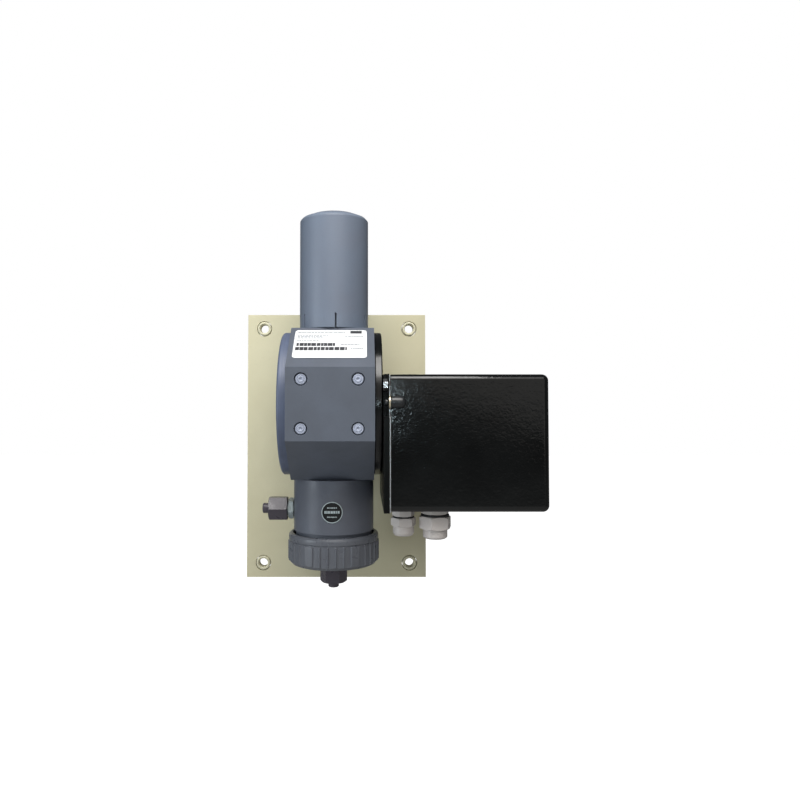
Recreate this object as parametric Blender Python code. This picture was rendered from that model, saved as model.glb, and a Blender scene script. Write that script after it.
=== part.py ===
"""A wall-mounted peristaltic pump: a chamfered pump block on a back plate, with a sprung pressure unit
under a cover sleeve above it, the hose neck with its union nut below it, and a geared motor under a cover
at its right.

The frame is in metres. The origin is the middle of the plate's back face, +X points right as seen from the
front, +Y into the wall and +Z up. The lengths below are in millimetres.
"""

import math

import bmesh
import bpy
from mathutils import Vector

MM = 0.001
GAP = 0.3  # between pieces that touch on the real object

# Plate: the back face is at Y = 0.
PLATE_W, PLATE_H, PLATE_T = 190.0, 279.0, 10.0
HOLE_INSET_X, HOLE_INSET_Z = 17.5, 15.0
INSERT_R, INSERT_BORE_R, INSERT_PROUD = 7.5, 3.6, 0.6

# Pump block: an octagonal profile, with the drum's axis along X at (TUBE_Y, DRUM_Z).
TUBE_Y, DRUM_Z = -90.0, 45.0
BLOCK_X0, BLOCK_X1, BLOCK_HALF_H = -37.2, 38.2, 69.0
BLOCK_FRONT = -80.0  # from the drum's axis
BLOCK_BACK = -PLATE_T - GAP - TUBE_Y
FRONT_FLAT_HALF_H, TOP_FLAT_HALF_D = 31.1, 30.0
BORE_R = 53.0
CAP_X, CAP_Z, CAP_R, CAP_DEPTH = 24.1, 20.75, 4.7, 4.5
BLOCK_SCREW_X, BLOCK_SCREW_Z = 24.0, 20.0
BLOCK_SCREW_R, BLOCK_SCREW_HEAD_R, BLOCK_SCREW_DEPTH = 3.0, 6.0, 15.0
LABEL_W, LABEL_H, LABEL_T, LABEL_UP_SLOPE = 64.3, 45.0, 0.35, 0.56

# Side covers and the base flange of the drive.
COVER_R, LEFT_COVER_T, RIGHT_COVER_END = 67.0, 9.0, 45.2
BEARING_R, BEARING_POCKET_R, BEARING_W = 11.0, 11.3, 6.7
LEFT_BEARING_X0 = BLOCK_X0 - 2 * GAP - BEARING_W
FLANGE_X0, FLANGE_X1 = 45.5, 51.5
FLANGE_Y0, FLANGE_Y1, FLANGE_Z0, FLANGE_Z1 = -80.0, 45.0, -91.0, 25.3
POCKET_Z0, WEB_X0, WEB_X1 = -10.6, 48.4, 49.6
FASTENER_Y, BOLT_Z, NUT_Z = -76.0, 16.0, 1.4
BOLT_R, BOLT_FLATS, BOLT_HEAD_T, SCREW_R, DOME_R, DOME_H = 3.7, 9.0, 2.9, 2.8, 5.3, 4.8

# Pressure unit above the block.
SLEEVE_R, SLEEVE_BORE_R, SLEEVE_SHOULDER, SLEEVE_TOP = 32.5, 29.2, 173.4, 179.6
SLEEVE_ROOF_R, SLEEVE_WALL = 22.0, 3.0
SLOTS, SLOT_W, SLOT_H, SLOT_PHASE = 6, 1.6, 13.5, 5.0
SPIGOT_R, SPIGOT_BORE_R, SPIGOT_TOP = 28.2, 22.5, 150.0
SHOE_R, SHOE_FOOT, SHOE_TOP, SPINDLE_R, SPINDLE_TOP = 21.7, 40.0, 64.0, 5.0, 170.5
PLUG_DEPTH, PLUG_T, SPINDLE_PLAY, KNOB_R, KNOB_T, KNOB_FLUTE = 8.0, 6.0, 0.4, 16.0, 11.2, 0.8
SPRING_R, SPRING_WIRE_R, SPRING_TURNS = 10.0, 1.1, 6

# Hose neck under the block.
NECK_R, NECK_BORE_R, NECK_END = 37.5, 32.0, -132.0
NECK_GROOVE_Z, NECK_SPIGOT_R, HOSE_HOLE_R, NECK_LIP_T = -117.9, 35.6, 25.0, 4.0
UNION_R, UNION_RIBS, UNION_TOP, UNION_BOTTOM = 42.75, 36, -120.3, -148.5
UNION_SHELF, UNION_HOLE_R, UNION_RIB_H = -138.4, 30.0, 1.2
SIDE_Z, THREAD_R, HOSE_BARB_R = -99.0, 5.9, 3.6
STICKER_Z, STICKER_R, STICKER_T = -97.1, 9.5, 0.35
FLUID_BORE_R = 2.6
OUTLET_HEX_FLATS, OUTLET_HEX_END, OUTLET_NUT_FLATS, OUTLET_NUT_END = 17.0, -42.6, 20.5, -60.5
OUTLET_THREAD_END, OUTLET_STUB_R, OUTLET_STUB_END = -52.0, 4.75, -66.5
OUTLET_HEX_TURN_DEG, OUTLET_NUT_TURN_DEG, INLET_TURN_DEG = 14.0, -2.0, -3.0
INLET_HEX_FLATS, INLET_HEX_END, INLET_NUT_FLATS, INLET_NUT_END = 20.0, -154.6, 22.0, -167.5
INLET_THREAD_END, INLET_STUB_R, INLET_STUB_END = -158.0, 5.0, -172.5

# Rotor and hose.
SHAFT_R, PITCH_R, ROLLER_R, PIN_R, ROLLERS = 4.0, 29.5, 9.0, 2.7, 3
HOSE_R, LOOP_R, LOOP_END_DEG, LEG_BEND_R = 4.8, 44.0, 145.0, 25.0
TRACK_R, TRACK_T, TRACK_FROM_DEG, TRACK_TO_DEG = 49.3, 3.4, 29.0, 136.0
HUB_R, HUB_BARREL_R, HUB_HALF_W, HUB_CHEEK_T, ROLLER_HALF_W, PIN_HALF_W = 37.0, 14.0, 16.0, 3.0, 12.6, 17.5
HOSE_END_X, HOSE_END_Z = -25.0, -117.5

# Gear train, module 1, with its shafts under each other.
WHEEL_TEETH, PINION_TEETH, CENTRE_DISTANCE = 36, 16, 26.0
GEARS_1, GEARS_2 = (60.0, 66.0), (69.0, 75.0)  # each stage's place along X
BRACKET_X, BRACKET_T = 76.8, 2.8
LEG_Y, LEG_TOP_Z, LEG_BOTTOM_Z, LEG_R = 24.0, 14.0, -70.0, 4.0
SMALL_SHAFT_R, MOTOR_SHAFT_END, MOTOR_R, MOTOR_END = 3.0, 90.0, 21.0, 150.0

# Drive cover, from the drum's axis.
BOX_X0, BOX_X1 = FLANGE_X1 + GAP, 187.0
BOX_Y0, BOX_Y1, BOX_Z0, BOX_Z1 = -70.0, 40.0, -92.0, 25.3
BOX_WALL, BOX_ROUND = 2.0, 5.5
GLAND_Y = -45.0
GLANDS = {
    "gland_small": {
        "x": 63.2, "thread_r": 7.7, "body_flats": 17.5, "nut_flats": 19.5, "body_end": -98.5,
        "nut_end": -107.0, "ring_r": 9.3, "ring_end": -113.0, "lip_r": 8.0, "lip_end": -115.5,
    },
    "gland_large": {
        "x": 91.1, "thread_r": 9.7, "body_flats": 22.5, "nut_flats": 25.5, "body_end": -96.5,
        "nut_end": -109.5, "ring_r": 10.8, "ring_end": -116.5, "lip_r": 9.6, "lip_end": -118.0,
    },
}


def clear_scene():
    for obj in list(bpy.data.objects):
        bpy.data.objects.remove(obj, do_unlink=True)


def material(name, colour, roughness, metallic=0.0):
    made = bpy.data.materials.new(name)
    made.use_nodes = True
    shader = made.node_tree.nodes["Principled BSDF"]
    shader.inputs["Base Color"].default_value = (*colour, 1.0)
    shader.inputs["Roughness"].default_value = roughness
    shader.inputs["Metallic"].default_value = metallic
    made.diffuse_color = (*colour, 1.0)
    return made


def axis_empty(name, x, y, z):
    """A joint's axis, in the drum's millimetres. Its moving pieces are its children."""
    empty = bpy.data.objects.new(name, None)
    empty.empty_display_size = 0.02
    empty.location = drum(x, y, z)
    bpy.context.scene.collection.objects.link(empty)
    return empty


def drum(x, y, z):
    """A point given from the drum's axis in millimetres, as one in the part's frame in metres."""
    return Vector((x, y + TUBE_Y, z + DRUM_Z)) * MM


def on_axis(axis, along, u, v):
    """Local millimetres from a place along an axis and the two directions across it."""
    return {"X": (along, u, v), "Y": (u, along, v), "Z": (u, v, along)}[axis]


def add(name, shape, look, at=(0.0, 0.0, 0.0), parent=None, turn_x=0.0):
    """Makes an object of a bmesh in millimetres. Its own origin is at a point given from the drum's axis."""
    bmesh.ops.scale(shape, vec=(MM, MM, MM), verts=shape.verts)
    bmesh.ops.recalc_face_normals(shape, faces=shape.faces)
    mesh = bpy.data.meshes.new(name)
    shape.to_mesh(mesh)
    shape.free()
    mesh.materials.append(look)
    mesh.shade_smooth()
    mesh.set_sharp_from_angle(angle=math.radians(35.0))
    obj = bpy.data.objects.new(name, mesh)
    bpy.context.scene.collection.objects.link(obj)
    obj.location = drum(*at)
    obj.rotation_euler.x = turn_x
    if parent:
        obj.parent = parent
        obj.location -= parent.location
    return obj


def turned(profile, axis="Z", segments=32, radius_at=None, start=0.0):
    """A bmesh turned round an axis from (along, radius) points.

    Without a point on the axis the profile is a ring. radius_at(k, radius) may change the radius at the
    k-th segment, as for ribs.
    """
    shape = bmesh.new()
    rings = []
    for along, radius in profile:
        if radius == 0.0:
            rings.append([shape.verts.new(on_axis(axis, along, 0.0, 0.0))] * segments)
            continue
        ring = []
        for k in range(segments):
            angle = start + 2.0 * math.pi * k / segments
            r = radius_at(k, radius) if radius_at else radius
            ring.append(shape.verts.new(on_axis(axis, along, r * math.cos(angle), r * math.sin(angle))))
        rings.append(ring)
    closed = all(radius > 0.0 for _, radius in profile)
    pairs = list(zip(rings, rings[1:] + rings[:1])) if closed else list(zip(rings, rings[1:]))
    for a, b in pairs:
        for k in range(segments):
            j = (k + 1) % segments
            corners = list(dict.fromkeys((a[k], a[j], b[j], b[k])))
            if len(corners) > 2:
                shape.faces.new(corners)
    return shape


def prism(outline, axis, start, end):
    """A bmesh extruded along an axis from an outline of (u, v) points."""
    shape = bmesh.new()
    face = shape.faces.new([shape.verts.new(on_axis(axis, start, u, v)) for u, v in outline])
    moved = bmesh.ops.extrude_face_region(shape, geom=[face])
    ends = [item for item in moved["geom"] if isinstance(item, bmesh.types.BMVert)]
    bmesh.ops.translate(shape, verts=ends, vec=on_axis(axis, end - start, 0.0, 0.0))
    return shape


def block_shape(x0, x1, y0, y1, z0, z1):
    return prism([(x0, y0), (x1, y0), (x1, y1), (x0, y1)], "Z", z0, z1)


def rounded_outline(width, height, radius, steps=4):
    points = []
    for quarter, (sx, sy) in enumerate(((1, 1), (-1, 1), (-1, -1), (1, -1))):
        centre_x, centre_y = sx * (width / 2 - radius), sy * (height / 2 - radius)
        for step in range(steps + 1):
            angle = math.pi / 2 * (quarter + step / steps)
            points.append((centre_x + radius * math.cos(angle), centre_y + radius * math.sin(angle)))
    return points


def hexagon(across_flats, start_deg=0.0):
    corner = across_flats / math.sqrt(3.0)
    angles = [math.radians(start_deg + 60.0 * k) for k in range(6)]
    return [(corner * math.cos(a), corner * math.sin(a)) for a in angles]


def combine(obj, shape, operation, look, at=(0.0, 0.0, 0.0)):
    """Cuts a bmesh from an object, or joins it on. The bmesh stays as a hidden helper."""
    helper = add(f"{obj.name}.{operation.lower()}", shape, look, at)
    helper.hide_render = True
    helper.display_type = "WIRE"
    step = obj.modifiers.new(operation.title(), "BOOLEAN")
    step.operation = operation
    step.object = helper
    step.solver = "EXACT"


def drill(obj, axis, start, end, radius, look, at=(0.0, 0.0, 0.0), segments=24):
    hole = turned([(start, 0.0), (start, radius), (end, radius), (end, 0.0)], axis, segments)
    combine(obj, hole, "DIFFERENCE", look, at)


def rod(start, end, radius):
    return [(start, 0.0), (start, radius), (end, radius), (end, 0.0)]


def tube(start, end, radius, bore):
    return [(start, bore), (start, radius), (end, radius), (end, bore)]


def make_looks():
    return {
        "plate": material("plate_plastic", (0.62, 0.58, 0.42), 0.5),
        "block": material("block_plastic", (0.060, 0.068, 0.078), 0.6),
        "sleeve": material("sleeve_plastic", (0.105, 0.130, 0.165), 0.45),
        "neck": material("neck_plastic", (0.045, 0.055, 0.070), 0.45),
        "black": material("black_paint", (0.006, 0.006, 0.007), 0.2),
        "gland": material("gland_plastic", (0.72, 0.72, 0.72), 0.4),
        "cap": material("cap_plastic", (0.30, 0.31, 0.38), 0.4),
        "label": material("label_paper", (0.80, 0.80, 0.82), 0.5),
        "sticker": material("sticker_paper", (0.01, 0.01, 0.012), 0.4),
        "steel": material("steel", (0.55, 0.55, 0.55), 0.3, 1.0),
        "brass": material("brass", (0.70, 0.50, 0.18), 0.3, 1.0),
        "fitting": material("fitting_plastic", (0.10, 0.11, 0.12), 0.4),
        "hose": material("hose_rubber", (0.60, 0.58, 0.50), 0.6),
        "roller": material("roller_plastic", (0.75, 0.74, 0.70), 0.4),
    }


def make_plate(looks):
    half_w, half_h = PLATE_W / 2, PLATE_H / 2
    outline = [(-half_w, -half_h), (half_w, -half_h), (half_w, half_h), (-half_w, half_h)]
    back = -TUBE_Y
    centre = (0.0, back, -DRUM_Z)
    plate = add("wall_plate", prism(outline, "Y", -PLATE_T, 0.0), looks["plate"], centre)
    number = 1
    for sz in (1, -1):
        for sx in (-1, 1):
            at = (sx * (half_w - HOLE_INSET_X), back, sz * (half_h - HOLE_INSET_Z) - DRUM_Z)
            drill(plate, "Y", -PLATE_T - 1.0, 1.0, INSERT_R + 2 * GAP, looks["plate"], at, segments=16)
            ring = tube(-PLATE_T - INSERT_PROUD, -GAP, INSERT_R, INSERT_BORE_R)
            add(f"plate_insert_{number}", turned(ring, "Y", 16), looks["plate"], at)
            number += 1
    return plate


def make_block(looks, plate):
    outline = [
        (BLOCK_FRONT, -FRONT_FLAT_HALF_H),
        (-TOP_FLAT_HALF_D, -BLOCK_HALF_H),
        (TOP_FLAT_HALF_D, -BLOCK_HALF_H),
        (BLOCK_BACK, -FRONT_FLAT_HALF_H),
        (BLOCK_BACK, FRONT_FLAT_HALF_H),
        (TOP_FLAT_HALF_D, BLOCK_HALF_H),
        (-TOP_FLAT_HALF_D, BLOCK_HALF_H),
        (BLOCK_FRONT, FRONT_FLAT_HALF_H),
    ]
    block = add("pump_block", prism(outline, "X", BLOCK_X0, BLOCK_X1), looks["block"])
    drill(block, "X", BLOCK_X0 - 1.0, BLOCK_X1 + 1.0, BORE_R, looks["block"], segments=48)
    drill(block, "Z", SHOE_FOOT / 2, BLOCK_HALF_H + 1.0, SHOE_R + 0.5, looks["block"], segments=32)
    drill(block, "Z", -BLOCK_HALF_H - 1.0, -SHOE_FOOT / 2, HOSE_HOLE_R, looks["block"], segments=32)
    number = 1
    for sz in (1, -1):
        for sx in (-1, 1):
            at = (sx * CAP_X, BLOCK_FRONT, sz * CAP_Z)
            drill(block, "Y", -1.0, CAP_DEPTH, CAP_R + 0.8, looks["block"], at, segments=16)
            foot = CAP_DEPTH - GAP
            cap = [(0.6, 0.0), (0.6, CAP_R - 0.8), (1.2, CAP_R), (foot, CAP_R), (foot, 0.0)]
            add(f"screw_cap_{number}", turned(cap, "Y", 16), looks["cap"], at)
            number += 1
    # Two countersunk screws from behind the plate hold the block.
    hole_r, tip = BLOCK_SCREW_R + GAP, -PLATE_T - BLOCK_SCREW_DEPTH
    sink = [(-5.0, 0.0), (-5.0, hole_r), (-4.3, hole_r), (1.0, BLOCK_SCREW_HEAD_R + 2.0), (1.0, 0.0)]
    screw = [(tip, 0.0), (tip, BLOCK_SCREW_R), (-4.0, BLOCK_SCREW_R), (-0.8, BLOCK_SCREW_HEAD_R), (-0.8, 0.0)]
    for name, side in (("block_screw_top", 1.0), ("block_screw_bottom", -1.0)):
        at = (-side * BLOCK_SCREW_X, -TUBE_Y, side * BLOCK_SCREW_Z)
        combine(plate, turned(sink, "Y", 24), "DIFFERENCE", looks["plate"], at)
        drill(plate, "Y", -PLATE_T - 1.0, -4.5, hole_r, looks["plate"], at)
        drill(block, "Y", tip - 1.0, -PLATE_T, hole_r, looks["block"], at)
        add(name, turned(screw, "Y", 24), looks["steel"], at)
    make_label(looks)


def make_label(looks):
    """The rating label lies on the upper chamfer."""
    slope = Vector((0.0, BLOCK_FRONT + TOP_FLAT_HALF_D, FRONT_FLAT_HALF_H - BLOCK_HALF_H))
    foot = Vector((0.0, BLOCK_FRONT, FRONT_FLAT_HALF_H))
    middle = foot - slope * LABEL_UP_SLOPE
    angle = math.atan2(-slope.z, -slope.y)
    outward = Vector((0.0, -math.sin(angle), math.cos(angle)))
    shape = prism(rounded_outline(LABEL_W, LABEL_H, 3.0), "Z", 0.0, LABEL_T)
    at = middle + outward * GAP + Vector((-0.6, 0.0, 0.0))
    add("rating_label", shape, looks["label"], at, turn_x=angle)


def make_side_covers(looks, joint):
    inner, outer = BLOCK_X0 - GAP, BLOCK_X0 - GAP - LEFT_COVER_T
    pocket = LEFT_BEARING_X0 - GAP
    # The profile meets the axis in the bearing's pocket and on the outer face, so it starts and ends there.
    left = [
        (pocket, 0.0), (pocket, BEARING_POCKET_R), (inner, BEARING_POCKET_R), (inner, COVER_R - 0.5),
        (inner - 0.5, COVER_R), (outer + 1.0, COVER_R), (outer, COVER_R - 1.0), (outer, 0.0),
    ]
    add("left_cover", turned(left, "X", 48), looks["sleeve"], parent=joint)
    bearing = tube(LEFT_BEARING_X0, LEFT_BEARING_X0 + BEARING_W, BEARING_R, SHAFT_R + GAP)
    add("left_bearing", turned(bearing, "X", 20), looks["steel"], parent=joint)
    start, end = BLOCK_X1 + GAP, RIGHT_COVER_END
    seat, hole_r = end - 1.0, SHAFT_R + 2.0
    right = [
        (start, BEARING_POCKET_R), (start, COVER_R), (end, COVER_R), (end, hole_r), (seat, hole_r),
        (seat, BEARING_POCKET_R),
    ]
    add("right_cover", turned(right, "X", 48), looks["black"])
    bearing = tube(start + GAP, seat - GAP, BEARING_R, SHAFT_R + GAP)
    add("right_bearing", turned(bearing, "X", 20), looks["steel"])


def make_pressure_unit(looks, lift, knob_joint, shoe_joint):
    foot = BLOCK_HALF_H + GAP
    roof = SLEEVE_TOP - SLEEVE_WALL
    # The roof reaches the axis on both faces, so the profile starts inside and ends outside.
    sleeve = [
        (roof, 0.0), (roof, SLEEVE_ROOF_R), (SLEEVE_SHOULDER - 2.0, SLEEVE_BORE_R), (foot, SLEEVE_BORE_R),
        (foot, SLEEVE_R), (SLEEVE_SHOULDER, SLEEVE_R), (SLEEVE_SHOULDER + 2.5, SLEEVE_R - 2.2),
        (SLEEVE_TOP, SLEEVE_ROOF_R), (SLEEVE_TOP, 0.0),
    ]
    cover = add("cover_sleeve", turned(sleeve, "Z", 36), looks["sleeve"], parent=lift)
    for k in range(SLOTS // 2):
        angle = math.radians(SLOT_PHASE + 180.0 * k / (SLOTS // 2))
        across = Vector((math.cos(angle), math.sin(angle))) * SLOT_W / 2
        along = Vector((-math.sin(angle), math.cos(angle))) * (SLEEVE_R + 2.0)
        corners = [-across - along, across - along, across + along, along - across]
        combine(cover, prism(corners, "Z", foot - 1.0, foot + SLOT_H), "DIFFERENCE", looks["sleeve"])
    add("spigot", turned(tube(foot, SPIGOT_TOP, SPIGOT_R, SPIGOT_BORE_R), "Z", 32), looks["block"])
    bore, plug_r, rim_r = SPINDLE_R + SPINDLE_PLAY, SPIGOT_BORE_R - GAP, SPIGOT_R - 0.2
    plug_foot, rim_foot, rim_top = SPIGOT_TOP - PLUG_DEPTH, SPIGOT_TOP + GAP, SPIGOT_TOP + PLUG_T
    plug = [
        (plug_foot, bore), (plug_foot, plug_r), (rim_foot, plug_r), (rim_foot, rim_r), (rim_top, rim_r),
        (rim_top, bore),
    ]
    add("spigot_cap", turned(plug, "Z", 24), looks["block"])
    knob_foot, knob_top = rim_top + GAP, rim_top + GAP + KNOB_T
    knob = [
        (knob_foot, bore), (knob_foot, KNOB_R - 2.0), (knob_foot + 1.7, KNOB_R), (knob_top - 1.5, KNOB_R),
        (knob_top, KNOB_R - 1.5), (knob_top, bore),
    ]
    fluted = turned(knob, "Z", 24, radius_at=lambda k, r: r - KNOB_FLUTE if r > bore and k % 2 else r)
    add("adjuster_knob", fluted, looks["black"], parent=knob_joint)
    shoe = [
        (SHOE_FOOT, 0.0), (SHOE_FOOT, SHOE_R), (SHOE_TOP, SHOE_R), (SHOE_TOP, SPINDLE_R),
        (SPINDLE_TOP, SPINDLE_R), (SPINDLE_TOP, 0.0),
    ]
    shoe = add("track_shoe", turned(shoe, "Z", 24), looks["roller"], parent=shoe_joint)
    drill(shoe, "X", -30.0, 30.0, TRACK_R, looks["roller"], segments=48)
    make_spring(looks, shoe_joint)


def smooth_tube(name, points, radius, look, resolution, parent=None):
    """A curve with a round section along points given from the drum's axis."""
    path = bpy.data.curves.new(name, "CURVE")
    path.dimensions = "3D"
    path.bevel_depth = radius * MM
    path.bevel_resolution = resolution
    path.use_fill_caps = True
    spline = path.splines.new("POLY")
    spline.points.add(len(points) - 1)
    base = parent.location if parent else Vector((0.0, 0.0, 0.0))
    for place, point in zip(spline.points, points):
        place.co = (*(drum(*point) - base), 1.0)
    path.materials.append(look)
    obj = bpy.data.objects.new(name, path)
    obj.parent = parent
    bpy.context.scene.collection.objects.link(obj)
    return obj


def make_spring(looks, joint):
    bottom, top = SHOE_TOP + SPRING_WIRE_R + GAP, SPIGOT_TOP - PLUG_DEPTH - SPRING_WIRE_R - GAP
    per_turn = 12
    count = SPRING_TURNS * per_turn
    points = []
    for k in range(count + 1):
        angle = 2.0 * math.pi * k / per_turn
        height = bottom + (top - bottom) * k / count
        points.append((SPRING_R * math.cos(angle), SPRING_R * math.sin(angle), height))
    smooth_tube("shoe_spring", points, SPRING_WIRE_R, looks["steel"], 1, joint)


def raceway(side):
    """One arc of the hose's track, from near the top down to the neck. side is -1 for the front one."""
    steps = 14
    step_deg = (TRACK_TO_DEG - TRACK_FROM_DEG) / steps
    angles = [math.radians(TRACK_FROM_DEG + step_deg * k) for k in range(steps + 1)]
    inner = [(side * TRACK_R * math.sin(a), TRACK_R * math.cos(a)) for a in angles]
    outer = [(side * (TRACK_R + TRACK_T) * math.sin(a), (TRACK_R + TRACK_T) * math.cos(a)) for a in angles]
    return prism(inner + outer[::-1], "X", -22.0, 22.0)


def hose_points():
    """The hose's middle line: from the inlet up the front leg, over the rotor, down to the side outlet."""
    end = math.radians(LOOP_END_DEG)
    start_y, start_z = LOOP_R * math.sin(end), LOOP_R * math.cos(end)
    # The loop runs on past its sides, so each leg bends back by this much before it hangs straight down.
    sweep = end - math.pi / 2
    leg_y = start_y - LEG_BEND_R * (1.0 - math.cos(sweep))
    bend = []
    for k in range(1, 7):
        left = sweep * (1.0 - k / 6.0)
        bend.append((
            leg_y + LEG_BEND_R * (1.0 - math.cos(left)),
            start_z - LEG_BEND_R * (math.sin(sweep) - math.sin(left)),
        ))
    loop = []
    loop_steps = round(2.0 * LOOP_END_DEG / 10.0)
    for k in range(loop_steps + 1):
        angle = math.radians(-LOOP_END_DEG + 2.0 * LOOP_END_DEG * k / loop_steps)
        loop.append((0.0, LOOP_R * math.sin(angle), LOOP_R * math.cos(angle)))
    front = [(0.0, -y, z) for y, z in bend][::-1]
    rear = [(0.0, y, z) for y, z in bend]
    leg_z = bend[-1][1]
    turn_z = leg_z - 6.0  # where the legs start to leave their straight run
    inlet = [(0.0, 0.0, HOSE_END_Z)]
    low = HOSE_END_Z + 5.5
    for k in range(7):
        part = k / 6.0
        inlet.append((0.0, -leg_y * (1.0 - math.cos(math.pi * part)) / 2.0, low + (turn_z - low) * part))
    outlet = []
    for k in range(7):
        angle = math.pi / 2 * k / 6
        outlet.append((
            (HOSE_END_X + 3.0) * (1.0 - math.cos(angle)),
            leg_y * (1.0 + math.cos(2.0 * angle)) / 2.0,
            turn_z + (SIDE_Z - turn_z) * math.sin(angle),
        ))
    outlet.append((HOSE_END_X, 0.0, SIDE_Z))
    return inlet + front + loop + rear + outlet


def make_rotor(looks, spin, roller_joints):
    add("front_raceway", raceway(-1), looks["roller"])
    add("rear_raceway", raceway(1), looks["roller"])
    smooth_tube("pump_hose", hose_points(), HOSE_R, looks["hose"], 2)
    add("rotor_shaft", turned(rod(LEFT_BEARING_X0, 78.0, SHAFT_R), "X", 20), looks["steel"], parent=spin)
    cheek = HUB_HALF_W - HUB_CHEEK_T
    hub = [
        (-HUB_HALF_W, SHAFT_R + GAP), (-HUB_HALF_W, HUB_R), (-cheek, HUB_R), (-cheek, HUB_BARREL_R),
        (cheek, HUB_BARREL_R), (cheek, HUB_R), (HUB_HALF_W, HUB_R), (HUB_HALF_W, SHAFT_R + GAP),
    ]
    hub = add("rotor_hub", turned(hub, "X", 32, start=0.03), looks["steel"], parent=spin)
    for k, joint in enumerate(roller_joints):
        angle = 2.0 * math.pi * k / ROLLERS
        at = (0.0, PITCH_R * math.cos(angle), PITCH_R * math.sin(angle))
        drill(hub, "X", -HUB_HALF_W - 2.0, HUB_HALF_W + 2.0, PIN_R + GAP, looks["steel"], at, segments=12)
        pin = rod(-PIN_HALF_W, PIN_HALF_W, PIN_R - 0.1)
        add(f"roller_pin_{k + 1}", turned(pin, "X", 12), looks["steel"], at, spin)
        roller = tube(-ROLLER_HALF_W, ROLLER_HALF_W, ROLLER_R, PIN_R + GAP)
        add(f"roller_{k + 1}", turned(roller, "X", 20), looks["roller"], at, joint)


def gear_outline(teeth, root_half, phase_deg):
    """A spur gear's outline with straight flanks: four points a tooth, in millimetres, for module 1."""
    pitch_r = teeth / 2.0
    tip_r, root_r, tip_half = pitch_r + 0.8, pitch_r - 1.1, 0.36
    points = []
    for k in range(teeth):
        middle = math.radians(phase_deg) + 2.0 * math.pi * k / teeth
        corners = ((root_r, -root_half), (tip_r, -tip_half), (tip_r, tip_half), (root_r, root_half))
        points += [(r * math.cos(middle + t / r), r * math.sin(middle + t / r)) for r, t in corners]
    return points


def wheel_outline():
    return gear_outline(WHEEL_TEETH, 0.92, 0.0)


def pinion_outline():
    # Half a tooth on, so that a space faces the wheel's tooth.
    return gear_outline(PINION_TEETH, 0.76, 180.0 / PINION_TEETH)


def make_gears(looks, spin, idler, motor_spin):
    wheel = add("rotor_wheel", prism(wheel_outline(), "X", *GEARS_1), looks["brass"], parent=spin)
    drill(wheel, "X", GEARS_1[0] - 1.0, GEARS_1[1] + 1.0, SHAFT_R + GAP, looks["brass"])
    idler_at, motor_at = (0.0, 0.0, -CENTRE_DISTANCE), (0.0, 0.0, -2.0 * CENTRE_DISTANCE)
    double = add("idler_gear", prism(wheel_outline(), "X", *GEARS_2), looks["brass"], idler_at, idler)
    combine(double, prism(pinion_outline(), "X", *GEARS_1), "UNION", looks["brass"], idler_at)
    neck = turned(rod(GEARS_1[1] - 1.0, GEARS_2[0] + 1.0, 5.5), "X", 24)
    combine(double, neck, "UNION", looks["brass"], idler_at)
    drill(double, "X", GEARS_1[0] - 1.0, GEARS_2[1] + 1.0, SMALL_SHAFT_R + GAP, looks["brass"], idler_at)
    pin = rod(FLANGE_X1 + GAP, BRACKET_X + BRACKET_T, SMALL_SHAFT_R)
    add("idler_shaft", turned(pin, "X", 24), looks["steel"], idler_at)
    pinion = add("motor_pinion", prism(pinion_outline(), "X", *GEARS_2), looks["steel"], motor_at, motor_spin)
    shaft = turned(rod(GEARS_2[0] - 0.5, MOTOR_SHAFT_END, SMALL_SHAFT_R), "X", 24)
    combine(pinion, shaft, "UNION", looks["steel"], motor_at)


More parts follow.
